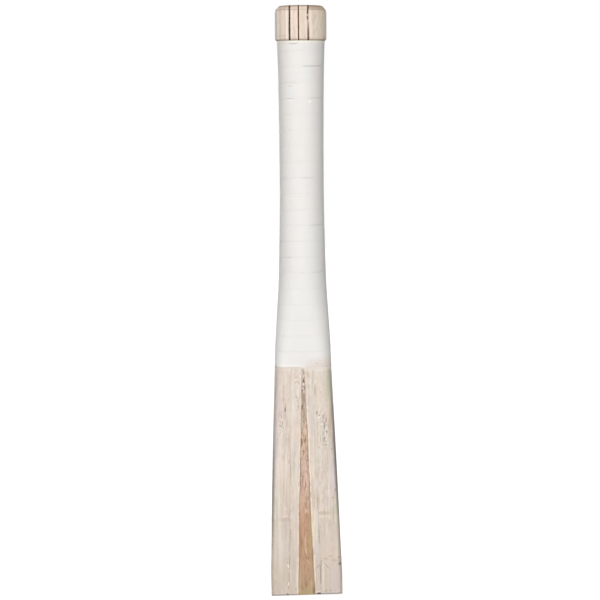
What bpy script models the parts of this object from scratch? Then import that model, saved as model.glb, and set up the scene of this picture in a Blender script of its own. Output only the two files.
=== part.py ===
"""Laminated handle blank of a cricket bat: canes, rubber spring strips, a splaying wedge
and a wound binding tape.

Metres, +Z up. The origin is the centre of the flat base end, +Z runs up to the knob,
and the front of the handle faces -Y.
"""

import math

import bmesh
import bpy
from mathutils import Vector, kdtree

# Lengths along the handle, from the base end up
HEEL_LENGTH = 0.0150
BLOCK_TAPER_LENGTH = 0.0850
BLOCK_NECK_LENGTH = 0.0790
BINDING_NECK_LENGTH = 0.0165
SHOULDER_LENGTH = 0.0580
GRIP_LOWER_LENGTH = 0.0700
GRIP_UPPER_LENGTH = 0.0735
GRIP_HEAD_LENGTH = 0.0334
KNOB_HEIGHT = 0.0268

# Widths across the front, over the binding where there is one
BASE_WIDTH = 0.0555
HEEL_WIDTH = 0.0557
BLOCK_MIDDLE_WIDTH = 0.0504
NECK_WIDTH = 0.0441
SHOULDER_WIDTH = 0.0429
GRIP_LOWER_DIAMETER = 0.0365
GRIP_WAIST_DIAMETER = 0.0340
GRIP_UPPER_DIAMETER = 0.0350
GRIP_HEAD_DIAMETER = 0.0370
KNOB_DIAMETER = 0.0398

# Front to back, and the rounding of the long corners
BLOCK_DEPTH = 0.0380
SHOULDER_DEPTH = 0.0376
BASE_CORNER_RADIUS = 0.0010
HEEL_CORNER_RADIUS = 0.0013
BLOCK_CORNER_RADIUS = 0.0045
NECK_CORNER_RADIUS = 0.0095
SHOULDER_CORNER_RADIUS = 0.0120

# Edges of the turned knob
KNOB_LOWER_RADIUS = 0.0015
KNOB_CHAMFER_WIDTH = 0.0031
KNOB_CHAMFER_HEIGHT = 0.0036

# The grip was turned a little to the left of the block's middle
GRIP_AXIS_X = -0.0019

# Places of the three seams across the laminate, from the grip's axis
LEFT_SEAM_AT_TOP = -0.0083
LEFT_SEAM_AT_SPLAY = -0.0088
LEFT_SEAM_AT_BASE = -0.0118
MIDDLE_SEAM_AT_TOP = -0.0013
MIDDLE_SEAM_AT_SPLAY = 0.0001
MIDDLE_SEAM_AT_BASE = 0.0025
RIGHT_SEAM_AT_TOP = 0.0057
RIGHT_SEAM_AT_SPLAY = 0.0064
RIGHT_SEAM_AT_BASE = 0.0131

# Spring strips, canes and wedge
LEFT_STRIP_THICKNESS = 0.0013
MIDDLE_STRIP_THICKNESS = 0.0010
RIGHT_STRIP_THICKNESS = 0.0013
STRIP_FEATHER_THICKNESS = 0.0003
STRIP_SKIVE_LENGTH = 0.0400
STRIP_END_ABOVE_BLOCK = 0.0080
MIDDLE_CANE_DEPTH = 0.0127
WEDGE_BASE_WIDTH = 0.0128
WEDGE_TIP_ABOVE_BLOCK = 0.0160

# Binding tape
TAPE_WIDTH = 0.0119
TAPE_THICKNESS = 0.0010
TAPE_TURN_GAP = 0.00042
TAPE_CUT_END = 0.0010
TAPE_START_ANGLE = math.radians(30)

# Clearances between glued faces
GLUE_GAP = 0.0003

# Fineness of the meshes
SECTION_POINTS = 48
TAPE_POINTS_PER_TURN = 24
RING_SPACING = 0.0130
KNOB_ARC_STEPS = 4

# Heights of the sections where the outline changes
BLOCK_MIDDLE_Z = HEEL_LENGTH + BLOCK_TAPER_LENGTH
BLOCK_TOP_Z = BLOCK_MIDDLE_Z + BLOCK_NECK_LENGTH
SHOULDER_Z = BLOCK_TOP_Z + BINDING_NECK_LENGTH
GRIP_LOWER_Z = SHOULDER_Z + SHOULDER_LENGTH
GRIP_WAIST_Z = GRIP_LOWER_Z + GRIP_LOWER_LENGTH
GRIP_UPPER_Z = GRIP_WAIST_Z + GRIP_UPPER_LENGTH
KNOB_BASE_Z = GRIP_UPPER_Z + GRIP_HEAD_LENGTH
TOTAL_LENGTH = KNOB_BASE_Z + KNOB_HEIGHT

# Heights of what the binding hides
SPLAY_Z = BLOCK_TOP_Z + WEDGE_TIP_ABOVE_BLOCK
STRIP_END_Z = BLOCK_TOP_Z + STRIP_END_ABOVE_BLOCK
STRIP_SKIVE_Z = SPLAY_Z + STRIP_SKIVE_LENGTH

# The tape lies in a rebate, flush with the block
REBATE_DEPTH = TAPE_THICKNESS + GLUE_GAP

# Stock is cut over-long and over-wide, then shaped to the outline
STOCK_LOW_Z = -KNOB_DIAMETER / 4
STOCK_HIGH_Z = TOTAL_LENGTH + KNOB_DIAMETER / 4
STOCK_HALF_WIDTH = BASE_WIDTH
STOCK_HALF_DEPTH = BLOCK_DEPTH


def outline_knots():
    """Height, width, depth and corner radius of each section that sets the outline."""
    flat_sections = [
        (0.0, BASE_WIDTH, BLOCK_DEPTH, BASE_CORNER_RADIUS),
        (HEEL_LENGTH, HEEL_WIDTH, BLOCK_DEPTH, HEEL_CORNER_RADIUS),
        (BLOCK_MIDDLE_Z, BLOCK_MIDDLE_WIDTH, BLOCK_DEPTH, BLOCK_CORNER_RADIUS),
        (BLOCK_TOP_Z, NECK_WIDTH, BLOCK_DEPTH, NECK_CORNER_RADIUS),
        (SHOULDER_Z, SHOULDER_WIDTH, SHOULDER_DEPTH, SHOULDER_CORNER_RADIUS),
    ]
    round_sections = [
        (GRIP_LOWER_Z, GRIP_LOWER_DIAMETER),
        (GRIP_WAIST_Z, GRIP_WAIST_DIAMETER),
        (GRIP_UPPER_Z, GRIP_UPPER_DIAMETER),
        (KNOB_BASE_Z, GRIP_HEAD_DIAMETER),
    ]
    return flat_sections + [(z, size, size, size / 2) for z, size in round_sections]


OUTLINE = outline_knots()


def knot_slopes(knots):
    """Slopes at the knots that keep a cubic through them free of overshoot."""
    secants = [(b[1] - a[1]) / (b[0] - a[0]) for a, b in zip(knots, knots[1:])]
    slopes = [secants[0]]
    for before, after in zip(secants, secants[1:]):
        turns_back = before * after <= 0.0
        slopes.append(0.0 if turns_back else 2.0 * before * after / (before + after))
    slopes.append(secants[-1])
    return slopes


def smooth_value(knots, z):
    """Value at height z of the smooth curve through (height, value) knots."""
    slopes = knot_slopes(knots)
    last = len(knots) - 2
    i = min(max(sum(1 for knot in knots if knot[0] <= z) - 1, 0), last)
    (z0, v0), (z1, v1) = knots[i], knots[i + 1]
    span = z1 - z0
    t = min(max((z - z0) / span, 0.0), 1.0)
    rise = t * t * (3.0 - 2.0 * t)
    start_bend = t * (1.0 - t) ** 2 * span * slopes[i]
    end_bend = t * t * (t - 1.0) * span * slopes[i + 1]
    return v0 + (v1 - v0) * rise + start_bend + end_bend


def straight_value(knots, z):
    """Value at height z on straight lines through (height, value) knots, run on past the ends."""
    i = min(max(sum(1 for knot in knots if knot[0] <= z) - 1, 0), len(knots) - 2)
    (z0, v0), (z1, v1) = knots[i], knots[i + 1]
    return v0 + (v1 - v0) * (z - z0) / (z1 - z0)


def section_size(z):
    """Width, depth and corner radius of the finished outline at height z."""
    width = smooth_value([(knot[0], knot[1]) for knot in OUTLINE], z)
    depth = smooth_value([(knot[0], knot[2]) for knot in OUTLINE], z)
    corner = smooth_value([(knot[0], knot[3]) for knot in OUTLINE], z)
    return width, depth, min(corner, width / 2, depth / 2)


def centre_x(z):
    """Middle of the section: the grip's axis above the block, the base's middle at the base."""
    above_block = min(max(z / BLOCK_TOP_Z, 0.0), 1.0)
    return GRIP_AXIS_X * above_block


def section_point(z, angle, points, inset=0.0):
    """Point of the outline at height z whose outward normal has this angle.

    The polygon's flats, not its corners, lie on the stated size. A positive inset
    moves the point inwards, square to the outline.
    """
    width, depth, corner = section_size(z)
    reach_x = width / 2 - corner
    reach_y = depth / 2 - corner
    radius = (corner - inset) / math.cos(math.pi / points)
    x = centre_x(z) + math.copysign(reach_x, math.cos(angle)) + radius * math.cos(angle)
    y = math.copysign(reach_y, math.sin(angle)) + radius * math.sin(angle)
    return Vector((x, y, z))


def section_angle(i, points):
    """Angle of the outline's i-th point, half a step off the axes."""
    return 2.0 * math.pi * (i + 0.5) / points


def outline_ring(z, inset=0.0):
    """All points of the outline at height z."""
    angles = [section_angle(i, SECTION_POINTS) for i in range(SECTION_POINTS)]
    return [section_point(z, angle, SECTION_POINTS, inset) for angle in angles]


def round_ring(z, radius):
    """Points of a circle about the grip's axis."""
    reach = radius / math.cos(math.pi / SECTION_POINTS)
    angles = [section_angle(i, SECTION_POINTS) for i in range(SECTION_POINTS)]
    return [Vector((GRIP_AXIS_X + reach * math.cos(a), reach * math.sin(a), z)) for a in angles]


def even_heights(low, high):
    """Heights from low to high in even steps no longer than the ring spacing."""
    steps = max(1, math.ceil((high - low) / RING_SPACING))
    return [low + (high - low) * i / steps for i in range(steps + 1)]


def stretch_heights(low, high):
    """Even heights between the outline's knots from low to high."""
    inner = [knot[0] for knot in OUTLINE if low < knot[0] < high]
    ends = [low] + inner + [high]
    heights = [low]
    for start, end in zip(ends, ends[1:]):
        heights += even_heights(start, end)[1:]
    return heights


def knob_rings():
    """Rings of the knob: its rounded underside, then the foot and the rim of its chamfer."""
    radius = KNOB_DIAMETER / 2
    rings = []
    for i in range(KNOB_ARC_STEPS + 1):
        turn = math.pi / 2 * i / KNOB_ARC_STEPS
        z = KNOB_BASE_Z + KNOB_LOWER_RADIUS * (1.0 - math.cos(turn))
        rings.append(round_ring(z, radius - KNOB_LOWER_RADIUS * (1.0 - math.sin(turn))))
    rings.append(round_ring(TOTAL_LENGTH - KNOB_CHAMFER_HEIGHT, radius))
    rings.append(round_ring(TOTAL_LENGTH, radius - KNOB_CHAMFER_WIDTH))
    return rings


def mesh_from_rings(name, rings):
    """Closed mesh through rings of equal counts, with flat ends."""
    mesh = bpy.data.meshes.new(name)
    bm = bmesh.new()
    rows = [[bm.verts.new(point) for point in ring] for ring in rings]
    count = len(rows[0])
    for low, high in zip(rows, rows[1:]):
        for i in range(count):
            j = (i + 1) % count
            bm.faces.new((low[i], low[j], high[j], high[i]))
    bm.faces.new(list(reversed(rows[0])))
    bm.faces.new(rows[-1])
    bmesh.ops.recalc_face_normals(bm, faces=bm.faces)
    bm.to_mesh(mesh)
    bm.free()
    mesh.shade_smooth()
    mesh.set_sharp_from_angle(angle=math.radians(30))
    return mesh


def principled_material(name, colour, roughness):
    """Plain material of one colour."""
    material = bpy.data.materials.new(name)
    material.use_nodes = True
    shader = material.node_tree.nodes["Principled BSDF"]
    shader.inputs["Base Color"].default_value = (*colour, 1.0)
    shader.inputs["Roughness"].default_value = roughness
    shader.inputs["Metallic"].default_value = 0.0
    material.diffuse_color = (*colour, 1.0)
    return material


def add_object(name, mesh, material, root):
    """Object that shows a mesh, under the handle's root."""
    piece = bpy.data.objects.new(name, mesh)
    bpy.context.scene.collection.objects.link(piece)
    piece.parent = root
    if material:
        mesh.materials.append(material)
    return piece


def add_handle_form(root):
    """Guide with the handle's outer shape, rebated where the tape lies."""
    block = [outline_ring(z) for z in stretch_heights(0.0, BLOCK_TOP_Z)]
    bound = [outline_ring(z, REBATE_DEPTH) for z in stretch_heights(BLOCK_TOP_Z, KNOB_BASE_Z)]
    mesh = mesh_from_rings("handle_form", block + bound + knob_rings())
    form = add_object("handle_form", mesh, None, root)
    form.hide_render = True
    form.display_type = "WIRE"
    return form


def shape_to_form(piece, form):
    """Shape over-size stock to the handle's outline."""
    shaping = piece.modifiers.new("shape_to_outline", "BOOLEAN")
    shaping.operation = "INTERSECT"
    shaping.solver = "EXACT"
    shaping.object = form


def stock_mesh(name, low_side, high_side, y_range, z_range):
    """Bar between two sides, each a list of (height, x), over ranges of y and z."""
    low_z, high_z = z_range
    bends = {knot[0] for knot in low_side + high_side if low_z < knot[0] < high_z}
    rings = []
    for z in [low_z] + sorted(bends) + [high_z]:
        x0 = straight_value(low_side, z)
        x1 = straight_value(high_side, z)
        y0, y1 = y_range
        rings.append([Vector(xy + (z,)) for xy in ((x0, y0), (x1, y0), (x1, y1), (x0, y1))])
    return mesh_from_rings(name, rings)


def seam_line(top, splay, base):
    """Middle of a seam as (height, x): it bends where the wedge's tip starts the splay."""
    return [
        (0.0, GRIP_AXIS_X + base),
        (SPLAY_Z, GRIP_AXIS_X + splay),
        (TOTAL_LENGTH, GRIP_AXIS_X + top),
    ]


LEFT_SEAM = seam_line(LEFT_SEAM_AT_TOP, LEFT_SEAM_AT_SPLAY, LEFT_SEAM_AT_BASE)
MIDDLE_SEAM = seam_line(MIDDLE_SEAM_AT_TOP, MIDDLE_SEAM_AT_SPLAY, MIDDLE_SEAM_AT_BASE)
RIGHT_SEAM = seam_line(RIGHT_SEAM_AT_TOP, RIGHT_SEAM_AT_SPLAY, RIGHT_SEAM_AT_BASE)


def strip_half_thickness(thickness):
    """Half the thickness of a skived strip as (height, half)."""
    return [
        (STRIP_END_Z, STRIP_FEATHER_THICKNESS / 2),
        (STRIP_SKIVE_Z, thickness / 2),
        (TOTAL_LENGTH, thickness / 2),
    ]


def strip_bed_half_width(thickness):
    """Half the space between two slabs as (height, half): it closes below the strip."""
    beds = [(z, half + GLUE_GAP) for z, half in strip_half_thickness(thickness)]
    return [(0.0, GLUE_GAP / 2), (BLOCK_TOP_Z, GLUE_GAP / 2)] + beds


def wedge_half_width():
    """Half the width of the wedge, and above it of the middle strip, as (height, half)."""
    return [
        (0.0, WEDGE_BASE_WIDTH / 2),
        (SPLAY_Z, MIDDLE_STRIP_THICKNESS / 2),
        (TOTAL_LENGTH, MIDDLE_STRIP_THICKNESS / 2),
    ]


def wedge_bed_half_width():
    """Half the space between the inner slabs as (height, half)."""
    return [(z, half + GLUE_GAP) for z, half in wedge_half_width()]


def side_line(seam, half_width, side):
    """Side of a seam as (height, x): side is -1 for its left, +1 for its right."""
    heights = sorted({z for z, _ in seam} | {z for z, _ in half_width})
    return [(z, straight_value(seam, z) + side * straight_value(half_width, z)) for z in heights]


def outer_side(side):
    """Side of over-wide stock as (height, x)."""
    return [(0.0, side * STOCK_HALF_WIDTH), (TOTAL_LENGTH, side * STOCK_HALF_WIDTH)]


def slab_sides():
    """Left and right side of each slab of canes."""
    left_bed = strip_bed_half_width(LEFT_STRIP_THICKNESS)
    right_bed = strip_bed_half_width(RIGHT_STRIP_THICKNESS)
    wedge_bed = wedge_bed_half_width()
    return {
        "left_outer": (outer_side(-1), side_line(LEFT_SEAM, left_bed, -1)),
        "left_inner": (side_line(LEFT_SEAM, left_bed, 1), side_line(MIDDLE_SEAM, wedge_bed, -1)),
        "right_inner": (side_line(MIDDLE_SEAM, wedge_bed, 1), side_line(RIGHT_SEAM, right_bed, -1)),
        "right_outer": (side_line(RIGHT_SEAM, right_bed, 1), outer_side(1)),
    }


def cane_depths():
    """Range of y of each cane in a slab, glued face to face."""
    inner = MIDDLE_CANE_DEPTH / 2
    return {
        "front": (-STOCK_HALF_DEPTH, -inner - GLUE_GAP),
        "middle": (-inner, inner),
        "back": (inner + GLUE_GAP, STOCK_HALF_DEPTH),
    }


def add_canes(form, material, root):
    """Every cane of every slab."""
    for slab, (low_side, high_side) in slab_sides().items():
        for depth, y_range in cane_depths().items():
            name = f"cane_{slab}_{depth}"
            mesh = stock_mesh(name, low_side, high_side, y_range, (STOCK_LOW_Z, STOCK_HIGH_Z))
            shape_to_form(add_object(name, mesh, material, root), form)


def add_strip(name, seam, half, end_z, form, material, root):
    """Rubber spring strip between two slabs, from its lower end up through the knob."""
    y_range = (-STOCK_HALF_DEPTH, STOCK_HALF_DEPTH)
    sides = side_line(seam, half, -1), side_line(seam, half, 1)
    mesh = stock_mesh(name, *sides, y_range, (end_z, STOCK_HIGH_Z))
    shape_to_form(add_object(name, mesh, material, root), form)


def add_wedge(form, material, root):
    """Hardwood wedge that splays the block, its tip under the middle strip."""
    y_range = (-STOCK_HALF_DEPTH, STOCK_HALF_DEPTH)
    half = wedge_half_width()
    sides = side_line(MIDDLE_SEAM, half, -1), side_line(MIDDLE_SEAM, half, 1)
    mesh = stock_mesh("splice_wedge", *sides, y_range, (STOCK_LOW_Z, SPLAY_Z))
    shape_to_form(add_object("splice_wedge", mesh, material, root), form)


def tape_rings():
    """Sections of the wound tape: it climbs one pitch a turn, and both ends are cut level."""
    low_limit = BLOCK_TOP_Z + GLUE_GAP
    high_limit = KNOB_BASE_Z - GLUE_GAP
    pitch = TAPE_WIDTH + TAPE_TURN_GAP
    first_upper_edge = low_limit + TAPE_CUT_END
    last_upper_edge = high_limit - TAPE_CUT_END + TAPE_WIDTH
    steps = round((last_upper_edge - first_upper_edge) / pitch * TAPE_POINTS_PER_TURN)
    rings = []
    for i in range(steps + 1):
        upper_edge = first_upper_edge + (last_upper_edge - first_upper_edge) * i / steps
        z_high = min(upper_edge, high_limit)
        z_low = max(upper_edge - TAPE_WIDTH, low_limit)
        angle = TAPE_START_ANGLE + section_angle(i, TAPE_POINTS_PER_TURN)
        rings.append([
            section_point(z, angle, TAPE_POINTS_PER_TURN, inset)
            for z, inset in (
                (z_low, TAPE_THICKNESS),
                (z_low, 0.0),
                (z_high, 0.0),
                (z_high, TAPE_THICKNESS),
            )
        ])
    return rings


def least_gap_between_turns(rings):
    """Least distance between points of the tape that lie half a turn or more apart."""
    points = [(i, point) for i, ring in enumerate(rings) for point in ring]
    tree = kdtree.KDTree(len(points))
    for index, (_, point) in enumerate(points):
        tree.insert(point, index)
    tree.balance()
    apart = TAPE_POINTS_PER_TURN // 2
    gaps = []
    for i, point in points:
        near = tree.find_range(point, TAPE_WIDTH / 4)
        gaps += [distance for _, index, distance in near if abs(points[index][0] - i) >= apart]
    return min(gaps)


def add_tape(material, root):
    """White tape wound edge to edge from the block to the knob, one unbroken strand."""
    rings = tape_rings()
    turns = (len(rings) - 1) / TAPE_POINTS_PER_TURN
    gap = least_gap_between_turns(rings)
    print(f"binding_tape: {turns:.1f} turns, least gap to itself {gap * 1000:.2f} mm")
    add_object("binding_tape", mesh_from_rings("binding_tape", rings), material, root)


def main():
    for old in list(bpy.data.objects):
        bpy.data.objects.remove(old, do_unlink=True)

    root = bpy.data.objects.new("handle", None)
    bpy.context.scene.collection.objects.link(root)

    cane = principled_material("cane", (0.74, 0.65, 0.57), 0.60)
    rubber = principled_material("rubber", (0.09, 0.05, 0.035), 0.70)
    hardwood = principled_material("hardwood", (0.49, 0.34, 0.23), 0.55)
    cotton = principled_material("cotton", (0.86, 0.85, 0.82), 0.80)

    form = add_handle_form(root)
    add_canes(form, cane, root)
    left_half = strip_half_thickness(LEFT_STRIP_THICKNESS)
    right_half = strip_half_thickness(RIGHT_STRIP_THICKNESS)
    middle_end_z = SPLAY_Z + GLUE_GAP
    add_strip("spring_strip_left", LEFT_SEAM, left_half, STRIP_END_Z, form, rubber, root)
    add_strip("spring_strip_middle", MIDDLE_SEAM, wedge_half_width(), middle_end_z, form, rubber, root)
    add_strip("spring_strip_right", RIGHT_SEAM, right_half, STRIP_END_Z, form, rubber, root)
    add_wedge(form, hardwood, root)
    add_tape(cotton, root)


main()
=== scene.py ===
"""Looks of a laminated cricket bat handle blank: canes, spring strips, wedge and binding tape.

Metres, +Z up, front facing -Y, in the frame's own coordinates.
"""

import math

import bpy
import numpy as np
from mathutils import Euler, Matrix, Vector, noise


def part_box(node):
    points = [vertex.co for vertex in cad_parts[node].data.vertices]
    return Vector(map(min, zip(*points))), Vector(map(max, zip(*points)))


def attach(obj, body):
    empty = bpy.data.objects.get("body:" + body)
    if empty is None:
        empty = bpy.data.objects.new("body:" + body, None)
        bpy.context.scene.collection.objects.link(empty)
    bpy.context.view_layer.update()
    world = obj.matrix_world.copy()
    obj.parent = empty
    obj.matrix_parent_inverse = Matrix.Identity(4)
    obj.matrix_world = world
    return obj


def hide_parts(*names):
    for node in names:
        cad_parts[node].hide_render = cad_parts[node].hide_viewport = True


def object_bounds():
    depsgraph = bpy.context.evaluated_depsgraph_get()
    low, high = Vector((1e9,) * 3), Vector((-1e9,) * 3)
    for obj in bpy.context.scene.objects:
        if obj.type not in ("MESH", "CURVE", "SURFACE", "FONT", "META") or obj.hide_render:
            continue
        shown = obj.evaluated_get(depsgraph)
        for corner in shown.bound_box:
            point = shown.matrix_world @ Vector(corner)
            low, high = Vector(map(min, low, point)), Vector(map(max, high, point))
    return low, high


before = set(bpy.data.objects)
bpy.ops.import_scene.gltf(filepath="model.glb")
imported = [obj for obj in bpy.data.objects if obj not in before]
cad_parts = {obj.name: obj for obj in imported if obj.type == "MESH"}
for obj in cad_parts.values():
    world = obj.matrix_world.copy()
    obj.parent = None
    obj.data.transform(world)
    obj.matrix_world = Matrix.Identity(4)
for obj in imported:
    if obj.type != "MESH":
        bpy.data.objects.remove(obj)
CAD_LOW, CAD_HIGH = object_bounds()
TAPE_LOW, TAPE_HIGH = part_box("binding_tape")
WEDGE_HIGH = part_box("splice_wedge")[1]
STRIP_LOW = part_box("spring_strip_left")[0]

# Heights taken from the frame
CAD_GAP = 0.0003
TOTAL_LENGTH = CAD_HIGH.z
BLOCK_TOP_Z = TAPE_LOW.z - CAD_GAP
KNOB_BASE_Z = TAPE_HIGH.z + CAD_GAP
SPLAY_Z = WEDGE_HIGH.z
STRIP_END_Z = STRIP_LOW.z
KNOB_RADIUS = (CAD_HIGH.y - CAD_LOW.y) / 2

# Outline: height, width across the front, depth and corner radius
HEEL_Z = 0.0150
HEEL_UPPER_Z = 0.0300
BLOCK_MIDDLE_Z = 0.1000
SHOULDER_Z = BLOCK_TOP_Z + 0.0165
GRIP_LOWER_Z = SHOULDER_Z + 0.0580
GRIP_WAIST_Z = GRIP_LOWER_Z + 0.0700
GRIP_UPPER_Z = KNOB_BASE_Z - 0.0334
BLOCK_DEPTH = 0.0380
OUTLINE = [
    (0.0, 0.0555, BLOCK_DEPTH, 0.0010),
    (HEEL_Z, 0.0556, BLOCK_DEPTH, 0.0013),
    (HEEL_UPPER_Z, 0.0547, BLOCK_DEPTH, 0.0017),
    (BLOCK_MIDDLE_Z, 0.0504, BLOCK_DEPTH, 0.0045),
    (BLOCK_TOP_Z, 0.0441, BLOCK_DEPTH, 0.0095),
    (SHOULDER_Z, 0.0429, 0.0376, 0.0120),
    (GRIP_LOWER_Z, 0.0365, 0.0365, 0.01825),
    (GRIP_WAIST_Z, 0.0340, 0.0340, 0.0170),
    (GRIP_UPPER_Z, 0.0350, 0.0350, 0.0175),
    (KNOB_BASE_Z, 0.0367, 0.0367, 0.01835),
]
GRIP_AXIS_X = -0.0019
BLOCK_BOW = -0.00014
BASE_RISE = 0.0014
BASE_TAPER_Z = 0.0200
# Eased edge of the base end: height, and how far it is drawn in
BASE_EDGE = [(0.0, 0.00035), (0.0001, 0.00018), (0.00035, 0.00005), (0.0008, 0.0)]
ABOVE_BASE_EDGE_Z = 0.0016
TAPE_THICKNESS = 0.0010
REBATE_DEPTH = TAPE_THICKNESS + CAD_GAP

# Knob profile, with softened edges
KNOB_LOWER_RADIUS = 0.0022
KNOB_CHAMFER_WIDTH = 0.0033
KNOB_CHAMFER_HEIGHT = 0.0036
KNOB_CHAMFER_FOOT_EASE = 0.0020
KNOB_RIM_EASE = 0.0012

# Seams, from the grip's axis: x at the top, where the wedge starts and at the base, and bends as
# (height, x)
LEFT_SEAM = (-0.0086, -0.0088, -0.0118, [(0.0, 0.0)])
MIDDLE_SEAM = (-0.0018, -0.0003, 0.0019, [(0.0, 0.0), (0.0600, -0.00035), (0.1350, 0.00005)])
RIGHT_SEAM = (
    0.0057, 0.0064, 0.0131, [(0.4430, 0.0), (0.4465, -0.0004), (0.4510, -0.0004), (0.4545, -0.0001)],
)
SIDE_STRIP_THICKNESS = 0.0014
MIDDLE_STRIP_THICKNESS = 0.0011
STRIP_FEATHER = 0.0003
STRIP_SKIVE_Z = SPLAY_Z + 0.0400
WEDGE_BASE_WIDTH = 0.0131
STRIP_WANDER = 0.00012
WEDGE_WANDER = 0.00022
MIDDLE_STRIP_WANDER = 0.00007
MIDDLE_CANE_HALF_DEPTH = 0.00635

# Winding of the tape: one of its seams crosses the front at TAPE_SEAM_Z. It runs nearly level
# there and climbs behind
TAPE_PITCH = 0.01216
TAPE_SEAM_Z = 0.4108
TAPE_FRONT_EASE = 0.85
TAPE_SEAM_GAP = 0.00003
TAPE_END_GAP = 0.00002
TAPE_STEPS_PER_TURN = 144
TAPE_ACROSS_COUNT = 25
TAPE_LEAST_WIDTH = 0.0002
GRIP_GIRTH = 0.110

# Fineness of what shows, and of what the binding hides
SEAM_GAP = 0.00002
SEAM_WANDER = 0.00022
ARRIS = 0.00005
SURFACE_STEP = 0.0011
HIDDEN_STEP = 0.0100
QUARTER_POINTS = 36
SMOOTH_ANGLE = 30
TAPE_SMOOTH_ANGLE = 50
SAME_HEIGHT = 1e-6
SEED_STEP = 7.3

# Nodes of the canes: height, height at the other edge, swelling
CANE_NODES = {
    "left_outer": [(0.0601, 0.0606, 0.00009)],
    "left_inner": [(0.0606, 0.0598, 0.00005)],
    "right_inner": [(0.0659, 0.0662, 0.00005)],
    "right_outer": [(0.0278, 0.0300, 0.00016), (0.0660, 0.0662, 0.00006)],
}
NODE_HALF_HEIGHT = 0.0016
NODE_WANDER = 0.0007
# Fine groove along a node: its depth and its height, as shares of the node's own
NODE_GROOVE = (0.15, 0.2)

# How far the sanding leaves the wood off its true outline, in broad and in fine waves
BROAD_RELIEF = 0.00006
FINE_RELIEF = 0.00002


def straight(knots, z):
    """Value at height z on straight lines through (height, value) knots."""
    return float(np.interp(z, [k[0] for k in knots], [k[1] for k in knots]))


def knot_slopes(knots):
    """Slopes that keep a cubic through the knots free of overshoot."""
    secants = [(b[1] - a[1]) / (b[0] - a[0]) for a, b in zip(knots, knots[1:])]
    slopes = [secants[0]]
    for before, after in zip(secants, secants[1:]):
        slopes.append(0.0 if before * after <= 0.0 else 2 * before * after / (before + after))
    return slopes + [secants[-1]]


def smooth(knots, z):
    """Value at height z of the smooth curve through (height, value) knots."""
    slopes = knot_slopes(knots)
    i = min(max(sum(1 for k in knots if k[0] <= z) - 1, 0), len(knots) - 2)
    (z0, v0), (z1, v1) = knots[i], knots[i + 1]
    span = z1 - z0
    t = min(max((z - z0) / span, 0.0), 1.0)
    bend = t * (1 - t) ** 2 * span * slopes[i] + t * t * (t - 1) * span * slopes[i + 1]
    return v0 + (v1 - v0) * t * t * (3 - 2 * t) + bend


def section(z):
    """Width, depth and corner radius of the finished outline at height z."""
    width, depth, corner = (smooth([(k[0], k[i]) for k in OUTLINE], z) for i in (1, 2, 3))
    return width, depth, min(corner, width / 2, depth / 2)


def centre_x(z):
    """Middle of the section: the grip's axis above the block, nought at the base."""
    bow = straight([(0.0, 0.0), (BLOCK_MIDDLE_Z, BLOCK_BOW), (BLOCK_TOP_Z, 0.0)], z)
    return GRIP_AXIS_X * min(max(z / BLOCK_TOP_Z, 0.0), 1.0) + bow


def outline_loop(size, x):
    """Dense outline of one section, anticlockwise seen from above, as x and y."""
    width, depth, corner = size
    turn = np.linspace(0.0, math.pi / 2, QUARTER_POINTS)
    quarters = []
    for quarter, (side, face) in enumerate(((1, -1), (1, 1), (-1, 1), (-1, -1))):
        angle = turn + (quarter - 1) * math.pi / 2
        quarters.append(np.column_stack((
            x + side * (width / 2 - corner) + corner * np.cos(angle),
            face * (depth / 2 - corner) + corner * np.sin(angle),
        )))
    return np.vstack(quarters)


class Station:
    """One section of the whole handle, ready to be cut into its pieces."""

    def __init__(self, z, size, inset=0.0, x=None, shown=True):
        width, depth, corner = size
        self.z = z
        self.shown = shown
        self.x = centre_x(z) if x is None else x
        self.loop = outline_loop((width - 2 * inset, depth - 2 * inset, corner - inset), self.x)
        self.closed = np.vstack((self.loop, self.loop[:1]))
        self.along = np.concatenate(([0.0], np.cumsum(np.hypot(*np.diff(self.closed, axis=0).T))))
        self.girth = self.along[-1]

    def cut(self, axis, value, side):
        """Distance along the outline where x (axis 0) or y (axis 1) has a value, on one side."""
        start, end = self.loop, self.closed[1:]
        before, after = start[:, axis] - value, end[:, axis] - value
        middle = (start[:, 1 - axis] + end[:, 1 - axis]) / 2 - (self.x if axis == 1 else 0.0)
        crossing = (before * after <= 0) & (before != after) & (middle * side > 0)
        i = int(np.argmax(crossing))
        share = before[i] / (before[i] - after[i])
        return self.along[i] + share * (self.along[i + 1] - self.along[i])

    def at(self, distance):
        """Points at distances along the outline, which may run past its start."""
        distance = np.mod(distance, self.girth)
        return np.column_stack([np.interp(distance, self.along, column) for column in self.closed.T])

    def normals(self, distance, reach):
        """Outward normals at distances along the outline, from points within reach on both sides."""
        tangent = self.at(distance + reach) - self.at(distance - reach)
        tangent /= np.linalg.norm(tangent, axis=1)[:, None]
        return np.column_stack((tangent[:, 1], -tangent[:, 0]))

    def stretch(self, start, end, count):
        """Distances, points and outward normals from one distance to another."""
        if end < start:
            end += self.girth
        gap = min(SEAM_GAP, (end - start) / 4)
        distance = np.linspace(start + gap, end - gap, count)
        return distance - start, self.at(distance), self.normals(distance, 4 * SEAM_GAP)


def heights(low, high, step):
    """Even heights from low to high."""
    return list(np.linspace(low, high, max(1, math.ceil((high - low) / step)) + 1))


def eased_corner(corner, before, after, steps=6):
    """Points that round off the corner of a profile between two points on its sides."""
    return [tuple(
        (1 - t) ** 2 * a + 2 * t * (1 - t) * b + t * t * c for a, b, c in zip(before, corner, after)
    ) for t in np.linspace(0.0, 1.0, steps + 1)]


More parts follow.
